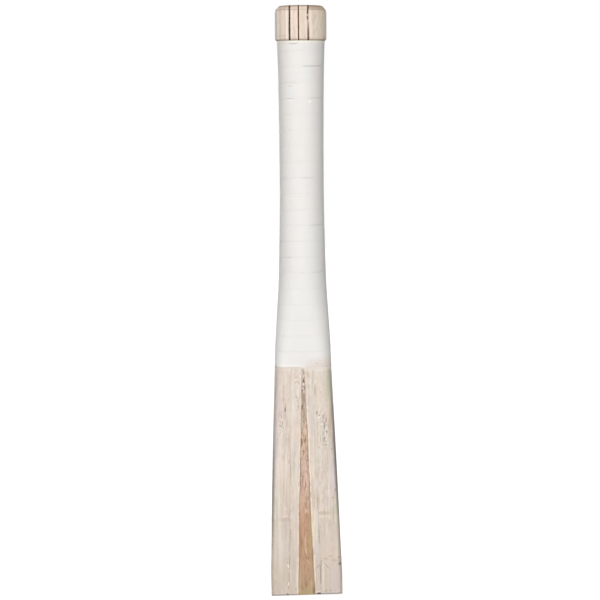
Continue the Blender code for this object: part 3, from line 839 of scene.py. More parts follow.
# Marks on the front of the canes: x and z of the middle, half width and half height in millimetres,
# colour, strength, and lean in x per z where the mark leans
CANE_MARKS = {
    "left_outer": [
        (-15.9, 146.9, 0.55, 1.9, DARK, 0.75), (-15.8, 150.6, 0.35, 1.6, BROWN, 0.35),
        (-15.7, 142.5, 0.35, 1.8, BROWN, 0.3), (-18.6, 134.4, 0.8, 1.5, BROWN, 0.35),
        (-18.9, 141.5, 0.4, 1.2, BROWN, 0.22), (-18, 127.8, 0.35, 4.4, BROWN, 0.28),
        (-20.6, 148, 2.4, 20, LILAC, 0.28, 0.01), (-23.4, 118, 1.2, 38, LILAC, 0.6, 0.03),
        (-22.8, 116, 1.5, 9, MAUVE, 0.55, 0.02), (-21.6, 96, 1.1, 20, PALE, 0.5),
        (-19.5, 100, 1, 16, PINK, 0.5), (-15.2, 92, 2.2, 13, CREAM, 0.6),
        (-16.4, 82, 5, 13, (204, 188, 174), 0.3), (-17.5, 60.4, 5.5, 1.5, NODE_TINT, 0.4),
        (-17, 62.8, 2.4, 0.8, PALE, 0.35), (-11.6, 65.6, 0.4, 1.8, BROWN, 0.5),
        (-12.4, 58.2, 0.6, 0.8, BROWN, 0.5), (-22.9, 66, 1.2, 30, GREEN_GREY, 0.45),
        (-20.8, 32, 2.8, 20, GREEN_GREY, 0.35), (-20.4, 42, 1.9, 22, (234, 224, 217), 0.5),
        (-15.8, 38, 2, 18, GREY, 0.3), (-14.4, 23.6, 0.5, 1.5, CHIP, 0.9, -0.3),
        (-13, 19.4, 0.6, 1.5, CHIP, 0.95, -0.3), (-13.4, 16, 0.4, 1.4, BROWN, 0.25),
        (-14.2, 9.4, 0.5, 1.6, CHIP, 0.85), (-15.2, 1, 1.3, 0.9, DARK, 0.85),
        (-23.7, 0.8, 0.8, 0.5, DARK, 0.4), (-20, 1.2, 5, 0.9, GREY, 0.5),
    ],
    "left_inner": [
        (-5.5, 168, 0.5, 0.8, BROWN, 0.45), (-6.3, 160, 0.55, 2.2, PALE, 0.7),
        (-6.2, 153.5, 0.3, 1.4, BROWN, 0.35), (-5.6, 149, 0.3, 1.2, BROWN, 0.35),
        (-10.2, 146, 2.2, 26, GLUE_WASH, 0.45, 0.02), (-4.1, 172.8, 0.4, 1.5, CHIP, 0.85),
        (-5.6, 158.1, 0.45, 1.8, PALE, 0.7), (-5.5, 149.7, 0.35, 1.5, BROWN, 0.3),
        (-7.2, 128, 1.4, 18, PINK, 0.6), (-8.8, 116, 1.5, 6, GREY, 0.45),
        (-9.8, 100, 0.8, 9, GREEN_GREY, 0.7), (-7, 84, 0.8, 12, CREAM, 0.6),
        (-7.4, 42, 0.8, 34, PINK, 0.8, 0.01), (-10.2, 30, 1, 26, GREY, 0.35),
        (-9.4, 46, 0.7, 14, CREAM, 0.55), (-8.7, 5.2, 0.35, 1.5, BROWN, 0.45),
        (-7.6, 14, 0.5, 6, PALE, 0.5),
    ],
    "right_inner": [
        (1.4, 148, 0.55, 1, CHIP, 0.7), (1.1, 162.5, 0.5, 1.6, PALE, 0.75),
        (1.9, 152.4, 0.6, 2.2, ROSE, 0.6), (3.4, 177.4, 1.4, 0.6, GREY, 0.7),
        (4.6, 136, 1.6, 6.5, (216, 208, 204), 0.6), (5.6, 127.5, 1.6, 4.5, ROSE, 0.45),
        (9, 23.4, 0.4, 1.6, STAIN, 0.7, 1.0), (3.4, 160, 0.7, 2.6, PALE, 0.45, -0.25),
        (2.2, 161.5, 0.35, 1.8, GREY, 0.5, -0.3), (3.6, 148, 1.6, 16, GREY, 0.3),
        (2.6, 122, 0.7, 18, PALE, 0.55, 0.03), (4.9, 104, 1, 12, CREAM, 0.6, 0.02),
        (4.5, 90, 0.35, 4, GREY, 0.55, 0.1), (5, 66, 1, 4, PINK, 0.55),
        (7.4, 48, 0.9, 20, PALE, 0.45, 0.02), (5.6, 52, 0.8, 17, (236, 224, 192), 0.85, 0.05),
        (7.2, 34, 1.4, 9, LILAC, 0.55), (6.1, 4.2, 0.45, 1.9, BROWN, 0.85),
        (9.4, 1.8, 1.5, 1.1, (70, 50, 42), 1.0), (8.8, 3, 1.6, 0.6, CHIP, 0.6),
    ],
    "right_outer": [
        (13.6, 132, 3, 13, GREY, 0.45, -0.15), (7.05, 162.5, 0.33, 4.4, BROWN, 0.42),
        (10.4, 160, 1.2, 20, CREAM, 0.4, 0.02), (17.6, 167, 2.6, 12, GREEN_GREY, 0.82, 0.02),
        (20, 151, 1.1, 12, GREEN_GREY, 0.45, 0.05), (15.6, 172, 0.6, 12, PALE, 0.4),
        (8.6, 143.8, 0.6, 1, DARK, 0.55), (10.4, 142.1, 0.45, 1, STAIN, 0.6),
        (10.6, 146.9, 0.45, 3, PALE, 0.8, 0.33), (12.6, 143.5, 0.6, 2.6, PALE, 0.7, 0.75),
        (9.8, 140.7, 0.9, 0.8, CHIP, 0.55, -0.6), (13.6, 141.5, 0.5, 1.4, STAIN, 0.7),
        (15.5, 138.4, 0.6, 1.6, BROWN, 0.65, -0.1), (16.8, 141.2, 0.5, 1.4, ROSE, 0.7, 0.2),
        (12.3, 134.6, 0.9, 1.5, CHIP, 0.5), (12.3, 137.6, 1, 1.2, ROSE, 0.55),
        (14.5, 134, 0.9, 2, STAIN, 0.5), (15.7, 133.1, 0.3, 1.8, PALE, 0.5),
        (17.4, 134.2, 0.45, 2.2, BROWN, 0.35), (15.7, 129.5, 0.6, 1.2, STAIN, 0.8),
        (15, 127.5, 0.7, 1.4, PALE, 0.8), (14.2, 124.2, 0.6, 1.5, DARK, 0.55, 0.5),
        (12.1, 124.2, 0.5, 1.4, PALE, 0.75), (11.1, 123.6, 0.3, 2.2, STAIN, 0.5),
        (15.8, 124.2, 0.5, 1, PALE, 0.75), (15.3, 121.9, 1.5, 1.1, GREY, 0.6),
        (12.2, 117.8, 0.8, 1.8, PALE, 0.6), (10.2, 116.9, 0.35, 0.7, STAIN, 0.6),
        (18.7, 136, 0.9, 15, TAWNY, 0.75, 0.03), (21.2, 122, 1.2, 9, MAUVE, 0.7, 0.06),
        (20, 115.8, 0.6, 0.6, BROWN, 0.6), (14.4, 113, 0.6, 1.6, PALE, 0.5),
        (16, 104, 2.6, 12, PALE, 0.3), (16, 113, 4.6, 12, (200, 190, 180), 0.28),
        (20.6, 94, 1.6, 18, LILAC, 0.7, 0.05), (20.5, 77.6, 0.6, 1, BROWN, 0.45),
        (23, 68, 1.4, 4.2, GREEN_GREY, 0.95, 0.1), (12.6, 65.6, 6, 1.3, NODE_TINT, 0.42),
        (12, 62.8, 5, 0.8, PALE, 0.3), (17.6, 62, 0.5, 1.4, PALE, 0.6), (15.6, 56, 0.4, 3, GREY, 0.4),
        (9.6, 44.5, 0.75, 10, PURPLE, 0.65), (18, 34, 2.6, 16, PINK, 0.4),
        (14.9, 29.4, 1.8, 0.8, NODE_TINT, 0.5), (21.7, 28.1, 2.4, 0.7, NODE_TINT, 0.5),
        (18.1, 31.6, 1.6, 0.7, STAIN, 0.3), (24.6, 30.5, 0.5, 0.8, BROWN, 0.7),
        (25.7, 25.4, 1, 1.2, DARK, 0.7), (15.3, 23.8, 0.45, 2.4, STAIN, 0.75, -0.91),
        (13.6, 24.6, 0.35, 2.6, PALE, 0.6, -0.91), (11.3, 20, 0.45, 8, STAIN, 0.45),
        (11.1, 26.6, 0.35, 1.4, STAIN, 0.6), (12.6, 16, 0.9, 12, PALE, 0.55),
        (22, 12, 3, 12, LILAC, 0.4), (15, 2.4, 3, 0.8, GREY, 0.5), (14.7, 3.9, 0.8, 0.9, PURPLE, 0.6),
        (18.3, 4.2, 0.8, 0.8, STAIN, 0.4), (21.9, 4.2, 0.8, 0.8, PURPLE, 0.6),
        (23, 4.4, 3.4, 1.6, LILAC, 0.5),
    ],
}
MARK_REACH_Y = -0.0120

# How much painted shade the knob's chamfer takes on each slab
CHAMFER_SHADE = {"left_outer": 0.44, "left_inner": 0.34, "right_inner": 0.18, "right_outer": 0.64}

# Marks on the front of the knob, written the same way
KNOB_MARKS = {
    "left_outer": [
        # The cool stripe at x -21.2 is painted shade at the knob's left side
        (-19.2, 443, 0.9, 22, (246, 236, 222), 0.9), (-21.2, 443, 1, 22, (206, 226, 226), 0.75),
        (-17.6, 443, 0.7, 22, (214, 196, 180), 0.45), (-15.7, 443, 1.1, 22, (246, 222, 212), 0.65),
        (-14, 443, 0.35, 22, BROWN, 0.14), (-12.4, 443, 0.7, 22, (246, 236, 224), 0.95),
        (-16, 434, 3.6, 1, (206, 184, 168), 0.35),
    ],
    "left_inner": [(-8.6, 443, 0.6, 22, PALE, 0.45)],
    "right_inner": [
        (-0.3, 443, 1.5, 22, (222, 204, 188), 0.75), (1.2, 452, 1.6, 5, PINK, 0.45),
    ],
    "right_outer": [
        (5.5, 441, 0.8, 22, PALE, 0.7), (13.5, 440, 2.6, 14, (234, 220, 200), 0.55),
        # Painted cool shade at the knob's right side
        (17, 443, 1, 22, (186, 206, 204), 0.45),
    ],
}
KNOB_MARK_REACH_Y = -0.0020

# Patches of specks on the front: x and z of the middle, half width and half height in millimetres,
# and lean in x per z
SPECKLED = {
    "left_outer": [
        (-18.8, 133, 2, 10), (-12.4, 57, 0.9, 13, 0.03),
        (-15.4, 28, 0.8, 2), (-13.3, 21.5, 0.8, 3), (-14.6, 8, 0.9, 2.4),
    ],
    "left_inner": [(-7.4, 170, 1.2, 8), (-7.5, 155.5, 0.9, 3)],
    "right_inner": [(3.4, 169, 1.4, 5, -0.35)],
    "right_outer": [
        (8, 170.5, 0.8, 2.4), (11.1, 161.7, 0.9, 2.4),
        (9.8, 143, 2, 3.8, -0.48), (13.5, 136, 2.2, 5.4, -0.35), (14.4, 127.5, 2.6, 6.4, -0.12),
        (14.6, 119.4, 2.4, 2.8),
    ],
}

# Stretches of height, in millimetres, where glue darkens a seam on the front
GLUE_SEEN = {
    "left": [(20.0, 31.0), (44.0, 53.0), (58.0, 61.0), (64.0, 69.0)],
    "right": [(9.0, 25.0), (41.0, 53.0), (67.0, 79.0)],
}
GLUE_STRENGTH = {"left": 0.5, "right": 0.85}

# Marks on the front of the wedge, written like those of the canes
WEDGE_DARK = (104, 84, 72)
WEDGE_GREY = (168, 149, 136)
WEDGE_PALE = (226, 198, 172)
WEDGE_OLIVE = (184, 164, 127)
WEDGE_MARKS = [
    (-1.6, 175.3, 0.45, 0.7, WEDGE_DARK, 0.6), (-2.3, 171.8, 0.5, 1.8, PALE, 0.5),
    (-1.5, 169.6, 0.45, 1.8, WEDGE_DARK, 1.0, -0.36), (-3.2, 166.4, 0.35, 1.5, WEDGE_GREY, 0.7),
    (-1.8, 166.8, 0.5, 1, PALE, 0.8), (-0.9, 163.9, 0.4, 2, WEDGE_DARK, 0.65),
    (-2.9, 161.7, 0.6, 0.9, WEDGE_DARK, 0.6), (-1.7, 160.6, 0.5, 0.6, PALE, 0.8),
    (-1.6, 155.2, 1.4, 4.4, WEDGE_GREY, 1.0), (-2.6, 149.4, 0.7, 1, WEDGE_DARK, 0.65),
    (-1.4, 145.6, 0.45, 2.4, WEDGE_DARK, 0.55, 0.05), (-2.2, 141, 0.4, 1.8, WEDGE_DARK, 0.4),
    (-3.4, 120.6, 0.45, 2.6, WEDGE_DARK, 0.75), (-2.9, 130, 0.5, 3, WEDGE_DARK, 0.35),
    (1.3, 128.8, 0.4, 3.2, WEDGE_DARK, 0.5, 0.03), (1.5, 115.6, 0.45, 2.6, WEDGE_DARK, 0.6),
    (-0.4, 130.4, 0.4, 1.5, WEDGE_PALE, 0.8, -0.1), (-2, 119.6, 0.6, 1.8, WEDGE_PALE, 0.55),
    (-0.4, 124, 0.4, 2, WEDGE_DARK, 0.25), (0, 67.2, 1.4, 1.6, WEDGE_PALE, 0.7),
    (2.1, 78, 0.6, 9, WEDGE_OLIVE, 0.6, -0.06), (-1, 43, 0.6, 4.2, WEDGE_PALE, 0.6),
    (-0.7, 35.8, 0.45, 2.2, WEDGE_PALE, 0.9, -0.2), (1, 27.2, 0.4, 2.2, WEDGE_PALE, 0.75, -0.6),
    (-0.2, 29.6, 0.6, 0.7, WEDGE_DARK, 0.45), (0.8, 51.6, 0.7, 0.7, WEDGE_DARK, 0.3),
    (1, 20.8, 0.45, 1, WEDGE_DARK, 0.35), (3.8, 15.7, 0.5, 0.9, WEDGE_DARK, 0.35),
    (1.9, 13.7, 0.5, 1.2, WEDGE_DARK, 0.25), (3.4, 50, 1.5, 22, (190, 166, 128), 0.75, 0.06),
    (-2.4, 56, 1.6, 16, (202, 158, 130), 0.45), (0.4, 2.8, 6, 2, WEDGE_OLIVE, 0.9),
    (1.2, 6.4, 4, 1, WEDGE_OLIVE, 0.5), (5.3, 4, 0.8, 2.6, WEDGE_DARK, 0.55),
]
WEDGE_BANDS = [
    (0.0, (181, 152, 118)), (0.03, (186, 156, 124)), (0.11, (190, 158, 130)), (0.23, (193, 156, 126)),
    (0.34, (196, 160, 136)), (0.42, (210, 178, 156)), (0.5, (215, 184, 169)), (0.6, (212, 182, 167)),
    (0.66, (210, 181, 156)), (0.74, (205, 182, 162)), (0.82, (208, 190, 177)), (0.9, (216, 204, 196)),
    (1.0, (202, 191, 182)),
]

# Marks on the front of the tape: a painted shadow below the glue bead under the knob, and two drops of
# dried glue
TAPE_MARKS = [
    (-7.8, 428.1, 3.0, 0.5, (184, 181, 173), 0.95), (-10.4, 385.2, 1.4, 0.5, (250, 250, 247), 0.8),
    (4.7, 384.3, 1.1, 0.7, (250, 250, 247), 0.8),
]

# Edge of each slab's front face that meets the wedge, and the one that meets an outer strip
WEDGE_EDGE = {"left_inner": "from_end", "right_inner": "from_start"}
STRIP_EDGE = {
    "left_outer": "from_end", "left_inner": "from_start",
    "right_inner": "from_end", "right_outer": "from_start",
}
STRETCH_FADE = 0.0010

# How dark the painted shade lies along the block's front edges: height, strength
PAINTED_EDGE_SHADE = {
    "left_outer": [
        (0.012, 0.28), (0.035, 0.28), (0.062, 0.55), (0.098, 0.50), (0.130, 0.20), (0.175, 0.14),
    ],
    "right_outer": [
        (0.012, 0.37), (0.035, 0.37), (0.062, 0.38), (0.098, 0.66), (0.130, 0.60), (0.175, 0.20),
    ],
}
# Strength of the painted shade on the block's rounded corners
CORNER_SHADE = 0.18

# How thick pale dust is smeared over the front of the right strip, up its height in the knob
STRIP_SMEAR = [
    (0.4300, 0.05), (0.4370, 0.20), (0.4410, 0.55), (0.4445, 0.90), (0.4458, 0.90), (0.4464, 0.22),
    (0.4484, 0.22), (0.4489, 0.88), (0.4500, 0.88), (0.4505, 0.10),
]
STRIP_SMEAR_REACH_Y = -0.008
WEFT_SPACING = 0.00062
WARP_SPACING = 0.00048


def lay_marks(paint, marks, reach):
    """Lay marks on the front of a piece, one over the other, as far round as y reaches."""
    on_front = paint.in_front(reach)
    for x, z, half_width, half_height, shade, strength, *lean in marks:
        paint.lay(shade, paint.oval(x, z, half_width, half_height, *lean), strength, on_front)


def lay_speckle(paint, clusters):
    """Gather dark and pale specks in ragged ovals on the front."""
    grain = paint.noise(1250.0, 520.0, 53.0)
    dark, pale = paint.step(grain, 0.53, 0.62, 0.0, 0.45), paint.step(grain, 0.48, 0.40, 0.0, 0.42)
    on_front = paint.in_front(MARK_REACH_Y)
    for cluster in clusters:
        mask = paint.times(paint.oval(*cluster, soft=0.5), on_front)
        paint.lay((146, 128, 114), mask, dark)
        paint.lay((246, 240, 230), mask, pale)


def along_stretches(paint, stretches):
    """1 within some stretches of height, in millimetres, and 0 outside them, with ragged ends."""
    z = paint.scaled(paint.ragged, 0.0040, paint.minus(paint.z, 0.0020))
    inside = 0.0
    for low, high in stretches:
        above = paint.step(z, low / 1000, low / 1000 + STRETCH_FADE)
        below = paint.step(z, high / 1000 - STRETCH_FADE, high / 1000, 1.0, 0.0)
        inside = paint.most(inside, paint.times(above, below))
    return inside


def seam_edges(paint, slab, depth, in_knob):
    """Glue and pale bruised fibres along a cane's edges."""
    patches = paint.noise(40.0, 60.0, 41.0)
    plain = paint.step(patches, 0.36, 0.60, 0.35, 0.85)
    for edge in ("from_start", "from_end"):
        distance = paint.layer(edge)
        at_wedge = depth == "front" and edge == WEDGE_EDGE.get(slab)
        at_strip = depth == "front" and edge == STRIP_EDGE[slab]
        shown = plain
        if at_wedge:
            from_pale = paint.minus(distance, paint.scaled(paint.ragged, 0.0010, 0.0005))
            patchy = paint.step(paint.noise(60.0, 120.0, 61.0), 0.42, 0.56, 0.12, 0.85)
            paint.lay(
                (240, 227, 212), paint.step(from_pale, -0.0003, 0.0004, 1.0, 0.0), patchy,
                paint.step(paint.z, 0.165, 0.130, 0.25, 1.0),
            )
            shown = paint.step(patches, 0.48, 0.66, 0.009, 0.21)
        if at_wedge or at_strip:
            paint.lay(PALE, paint.step(distance, 0.0003, 0.0010, 0.45, 0.0), in_knob)
        if at_strip:
            side = slab.split("_")[0]
            shown = paint.times(along_stretches(paint, GLUE_SEEN[side]), GLUE_STRENGTH[side])
        low, high = (0.00022, 0.00052) if shown is plain else (0.00014, 0.00034)
        paint.lay(GLUE_LINE, paint.step(distance, low, high, 1.0, 0.0), shown)


def painted_edge_shade(paint, slab):
    """Painted shade along the front of the block at its sides, seen from the front as a thin dark line.
    """
    from_side = paint.scaled(paint.ragged, -0.0006, paint.layer("from_side"))
    # Painted shade: grey laid near the sides, only where the surface faces the front
    paint.lay(
        (106, 104, 102), paint.step(from_side, 0.0011, 0.0023, 1.0, 0.0),
        paint.step(paint.normal_y, -0.35, -0.15, 1.0, 0.0),
        paint.step(paint.z, BLOCK_TOP_Z, BLOCK_TOP_Z - 0.003),
        paint.by_height(paint.z, PAINTED_EDGE_SHADE[slab]),
    )


def shaded_edges(paint, slab, in_knob, in_block):
    """Painted shade on the knob's rims and chamfer and on the block's rounded corners, and a darker line
    along the block's sawn lower edge.
    """
    chamfer_shade = CHAMFER_SHADE[slab]
    foot = TOTAL_LENGTH - KNOB_CHAMFER_HEIGHT
    # Painted shade under the knob's lower edge, towards and on its chamfer, and in a line at the
    # chamfer's foot
    paint.lay((142, 120, 98), in_knob, paint.most(
        paint.step(paint.z, KNOB_BASE_Z + 0.0012, KNOB_BASE_Z + 0.0002, 0.0, 0.35),
        paint.step(paint.z, foot - 0.0035, foot, 0.0, 0.12),
        paint.step(paint.z, foot, foot + 0.0008, 0.0, chamfer_shade),
        paint.step(paint.size(paint.minus(paint.z, foot)), 0.0001, 0.0006, min(chamfer_shade + 0.25, 0.7), 0.0),
    ))
    # Painted shade in a dark line at the rim of the knob's top
    paint.grade(paint.z, (TOTAL_LENGTH - 0.0016, TOTAL_LENGTH - 0.0008, 0.62, (112, 94, 76)))
    if slab.endswith("outer"):
        painted_edge_shade(paint, slab)
    low, high = (paint.step(paint.z, 0.085, 0.120, *ends) for ends in ((0.35, 0.62), (0.80, 1.0)))
    # Painted shade on the block's rounded corners, where they turn away to the sides
    corner = paint.times(
        paint.step(paint.size(paint.normal_x), low, high),
        paint.step(paint.size(paint.y), BLOCK_DEPTH / 2 - 0.0055, BLOCK_DEPTH / 2 - 0.0030),
        in_block, CORNER_SHADE,
    )
    # A darker line along the sawn lower edge, laid together with the corners' painted shade
    sawn = paint.scaled(paint.x, -BASE_RISE / OUTLINE[0][1], paint.minus(paint.z, BASE_RISE / 2))
    paint.lay((114, 110, 104), paint.most(corner, paint.step(sawn, 0.0013, 0.0005, 0.0, 0.62)))


def end_grain(paint, offset, glued):
    """Pores of wood cut across, and glue between the canes, where the surface faces up or down."""
    place = paint.stretched(1500.0, 40.0, offset)
    cell = paint.node("ShaderNodeTexVoronoi", {"Vector": place, "Scale": 1.0})
    cut = paint.mix(paint.noise(160.0, 10.0, offset + 3.0), (196, 172, 144), (222, 202, 176))
    cut = paint.mix(paint.step(cell.outputs["Distance"], 0.12, 0.34, 0.6, 0.0), cut, (128, 100, 76))
    from_seam = paint.size(paint.minus(paint.size(paint.y), MIDDLE_CANE_HALF_DEPTH))
    cut = paint.mix(paint.step(from_seam, 0.00008, 0.00026, glued, 0.0), cut, (108, 84, 66))
    paint.lay(cut, paint.step(paint.size(paint.normal_z), 0.90, 0.97))


def cane_wood(slab, depth, seed):
    """Rattan cane, planed and sanded: pale fibres, pores in dashes, drifting tints, marks and glue."""
    paint = Paint(f"{slab}_{depth}_wood", 0.62, 0.08, seed, 11.0)
    up = paint.step(paint.z, BLOCK_TOP_Z, KNOB_BASE_Z)
    in_knob = paint.step(paint.z, KNOB_BASE_Z - 0.001, KNOB_BASE_Z)
    in_block = paint.step(paint.z, BLOCK_TOP_Z + 0.001, BLOCK_TOP_Z + 0.0005)
    rough = paint.step(paint.z, 0.150, 0.100, 0.36, 1.0)
    paint.colour = paint.mix(up, *SLAB_COLOURS[slab])
    paint.lay(paint.ramp(paint.noise(110.0, 34.0, 0.0, 3.0), CANE_TINTS), paint.scaled(up, -0.22, 0.36))
    paint.grade(paint.noise(150.0, 26.0, 5.0), (0.60, 0.74, 0.35, GREEN_GREY))
    mottle = paint.noise(420.0, 150.0, 47.0, 3.0)
    paint.grade(mottle, (0.50, 0.68, 0.48, (202, 186, 171)), (0.48, 0.30, 0.45, PALE))
    streak = paint.noise(640.0, 40.0, 17.0, 3.0)
    paint.grade(streak, (0.54, 0.70, 0.90, (200, 181, 164)), (0.46, 0.30, 0.95, PALE), masks=[rough])
    fibre = paint.noise(2600.0, 90.0, 23.0)
    paint.grade(fibre, (0.56, 0.74, 0.32, (190, 168, 148)))
    pores = paint.step(paint.noise(1700.0, 230.0, 29.0, 1.0), 0.64, 0.76, 0.0, 0.80)
    pores = paint.times(pores, paint.step(paint.noise(260.0, 60.0, 31.0), 0.46, 0.60), rough)
    paint.lay(BROWN, pores)
    paint.grade(paint.noise(1200.0, 300.0, 37.0, 1.0), (0.66, 0.78, 0.7, PALE))
    paint.grade(paint.z, (0.095, 0.015, 0.62, (205, 190, 176)))
    if depth == "front":
        lay_marks(paint, CANE_MARKS[slab], MARK_REACH_Y)
        lay_marks(paint, KNOB_MARKS[slab], KNOB_MARK_REACH_Y)
        lay_speckle(paint, SPECKLED[slab])
    seam_edges(paint, slab, depth, in_knob)

    wash_edge = paint.scaled(paint.noise(300.0, 300.0, 43.0), 0.0050, BLOCK_TOP_Z - 0.0046)
    wash = paint.step(paint.minus(paint.z, wash_edge), -0.0004, 0.0008)
    paint.lay(GLUE_WASH, wash, paint.step(paint.x, -0.006, 0.002, 0.20, 0.50), in_block)
    shaded_edges(paint, slab, in_knob, in_block)
    end_grain(paint, 0.0, 0.75)
    height = paint.minus(paint.scaled(fibre, 0.5, paint.times(streak, 0.5)), paint.times(pores, 0.6))
    return paint.finish(height, 0.00012)


def wedge_wood():
    """Hardwood of the wedge: brown bands up its length, pores, dark flecks and dried glue."""
    paint = Paint("hardwood_wedge_wood", 0.5, 0.1, 0.0, 3.0)
    drift = paint.scaled(paint.noise(220.0, 26.0, 7.0), 0.16, -0.08)
    paint.colour = paint.ramp(paint.plus(paint.over(paint.z, BLOCK_TOP_Z), drift), WEDGE_BANDS)
    streak = paint.noise(700.0, 26.0, 13.0, 3.0)
    paint.grade(streak, (0.52, 0.72, 0.60, (158, 122, 96)), (0.46, 0.28, 0.60, (220, 192, 166)))
    pores = paint.step(paint.noise(1900.0, 170.0, 19.0, 1.0), 0.58, 0.70, 0.0, 0.62)
    paint.lay((128, 96, 76), pores)
    blotch, upper = paint.noise(620.0, 260.0, 37.0, 3.0), paint.step(paint.z, 0.070, 0.095)
    shades = (0.54, 0.68, 0.80, (156, 122, 104)), (0.46, 0.34, 0.70, (228, 202, 182))
    paint.grade(blotch, *shades, masks=[upper])
    grain, near_top = paint.noise(1300.0, 560.0, 29.0), paint.step(paint.z, 0.150, 0.164)
    shades = (0.54, 0.64, 0.55, (126, 110, 100)), (0.46, 0.36, 0.60, (238, 226, 214))
    paint.grade(grain, *shades, masks=[near_top])
    edge = paint.step(paint.layer("from_edge"), 0.0001, 0.0009, 0.50, 0.0)
    paint.lay((118, 90, 70), edge, paint.step(paint.z, 0.120, 0.150, 1.0, 0.25))
    lay_marks(paint, WEDGE_MARKS, MARK_REACH_Y)
    end_grain(paint, 47.0, 0.0)
    return paint.finish(paint.minus(paint.times(streak, 0.6), pores), 0.00014)


def strip_rubber(side, seed):
    """Spring rubber, cut flush with the wood: dark, matt, dusted, and smeared pale in one place."""
    paint = Paint(f"{side}_strip_rubber", 0.75, 0.1, seed, 0.0)
    grain = paint.noise(1800.0, 260.0, 3.0)
    paint.colour = paint.mix(paint.step(grain, 0.40, 0.70), (82, 58, 44), (108, 82, 66))
    paint.grade(paint.noise(1500.0, 420.0, 7.0), (0.64, 0.84, 0.30, (176, 150, 130)))
    if side == "right":
        rough = paint.scaled(paint.ragged, 0.0008, paint.minus(paint.z, 0.0004))
        on_front = paint.step(paint.y, STRIP_SMEAR_REACH_Y - 0.002, STRIP_SMEAR_REACH_Y, 1.0, 0.0)
        paint.lay((214, 190, 170), paint.by_height(rough, STRIP_SMEAR), on_front)
    return paint.finish(grain, 0.00010)


def binding_cotton():
    """White cotton tape set in glue: faint weave, drifting whites, seams that show in places, and
    painted shade in its seams and creases and down its sides.
    """
    paint = Paint("binding_cotton_tape", 0.55, 0.05, 0.0, 7.0)
    paint.colour = paint.ramp(paint.noise(70.0, 45.0, 5.0), TAPE_WHITES)
    paint.grade(paint.z, (0.400, 0.240, 0.65, (235, 234, 231)))
    uneven = paint.scaled(paint.noise(150.0, 150.0, 11.0), -0.0040, paint.z)
    shade = (BLOCK_TOP_Z + 0.0090, BLOCK_TOP_Z - 0.0005, 0.95, (224, 213, 205))
    paint.grade(uneven, shade, masks=[paint.step(paint.x, -0.008, 0.010)])
    paint.grade(paint.z, (BLOCK_TOP_Z + 0.0022, BLOCK_TOP_Z + 0.0010, 0.7, (228, 219, 212)))
    lay_marks(paint, TAPE_MARKS, KNOB_MARK_REACH_Y)
    # Painted shade down both sides of the grip, stronger on the right
    side = paint.step(paint.size(paint.normal_x), 0.84, 0.95)
    paint.lay((150, 151, 149), side, paint.step(paint.x, -0.010, 0.010, 0.03, 0.17))
    glue = paint.layer("glue")
    dried = paint.step(paint.z, BLOCK_TOP_Z, KNOB_BASE_Z, 0.55, 0.85)
    paint.lay((249, 244, 234), paint.step(glue, 0.2, 0.8), dried)
    # Painted shade in the tape's creases, where the glue layer runs below nought
    paint.grade(glue, (-0.1, -0.9, 0.5, (190, 184, 176)))
    # Painted shade in the seams between turns, as plain as each seam shows
    groove = paint.step(paint.layer("seam_distance"), 0.0001, 0.0009, 0.34, 0.0)
    paint.lay((150, 146, 140), groove, paint.layer("seam_strength"))
    glaze = paint.noise(420.0, 420.0, 9.0, 3.0)
    paint.grade(glaze, (0.55, 0.75, 0.18, (225, 222, 216)))
    weft, warp = (
        paint.math("SINE", paint.times(paint.layer(name), 2 * math.pi / spacing))
        for name, spacing in (("along", WEFT_SPACING), ("across", WARP_SPACING))
    )
    return paint.finish(paint.scaled(paint.times(weft, warp), 0.16, glaze), 0.00008)


# Photograph: camera pitched a little down on the grip, the handle leaning a little left
CAMERA_DISTANCE = 1.541
CAMERA_PITCH = math.radians(5.4)
CAMERA_ROLL = math.radians(-0.41)
CAMERA_AIM = Vector((-0.0039, 0.0, 0.2302))
CAMERA_LENS = 118.63
CAMERA_SENSOR = 36.0


def make_camera():
    """Camera at the photograph's place."""
    data = bpy.data.cameras.new("camera")
    data.lens = CAMERA_LENS
    data.sensor_width = CAMERA_SENSOR
    camera = bpy.data.objects.new("camera", data)
    bpy.context.scene.collection.objects.link(camera)
    back = Vector((0.0, -math.cos(CAMERA_PITCH), math.sin(CAMERA_PITCH)))
    camera.location = CAMERA_AIM + back * CAMERA_DISTANCE
    look = Euler((math.pi / 2 - CAMERA_PITCH, 0.0, 0.0)).to_matrix()
    camera.rotation_euler = (look @ Matrix.Rotation(CAMERA_ROLL, 3, "Z")).to_euler()
    bpy.context.scene.camera = camera


# Studio light: one broad soft light in front, with a dark card at each side, and two narrower lights
# behind
AMBIENT = 0.02
LIGHT_COLOUR = (1.0, 0.996, 0.990, 1.0)
FRONT_LIGHT = 2.76
FRONT_FOCUS = 1.5
FRONT_DIRECTION = Vector((-0.07, -1.0, 0.22)).normalized()
BACK_LIGHT = 5.2
BACK_DIRECTIONS = [Vector((x, 1.0, 0.32)).normalized() for x in (-0.34, 0.34)]
BACK_FOCUS = 20.0
# x of the light's ray where each card begins, and where it stops all of the light
CARDS = [(0.55, 0.85), (-0.75, -0.95)]
WHITE = (1.0, 1.0, 1.0, 1.0)
FLOOR_COLOUR = (0.32, 0.32, 0.315, 1.0)
FLOOR_GLOW = 0.86
FLOOR_SIZE = 8.0
FLOOR_Z = -0.0001


def emptied_tree(owner):
    """Node tree of a world or material, without its first nodes."""
    owner.use_nodes = True
    owner.node_tree.nodes.clear()
    return Tree(owner.node_tree)


def shown_plain(tree):
    """1 for rays from the camera or by way of gloss or glass, 0 for the light on the object."""
    path = tree.node("ShaderNodeLightPath").outputs
    return tree.most(*(path[f"Is {kind} Ray"] for kind in ("Camera", "Glossy", "Transmission")))


def soft_lobe(tree, ray, direction, peak, focus):
    """Light that is strongest from one direction and falls off to nothing at its side."""
    facing = tree.node("ShaderNodeVectorMath", {0: ray, 1: direction}, operation="DOT_PRODUCT")
    return tree.times(tree.math("POWER", tree.most(facing.outputs["Value"], 0.0), focus), peak)


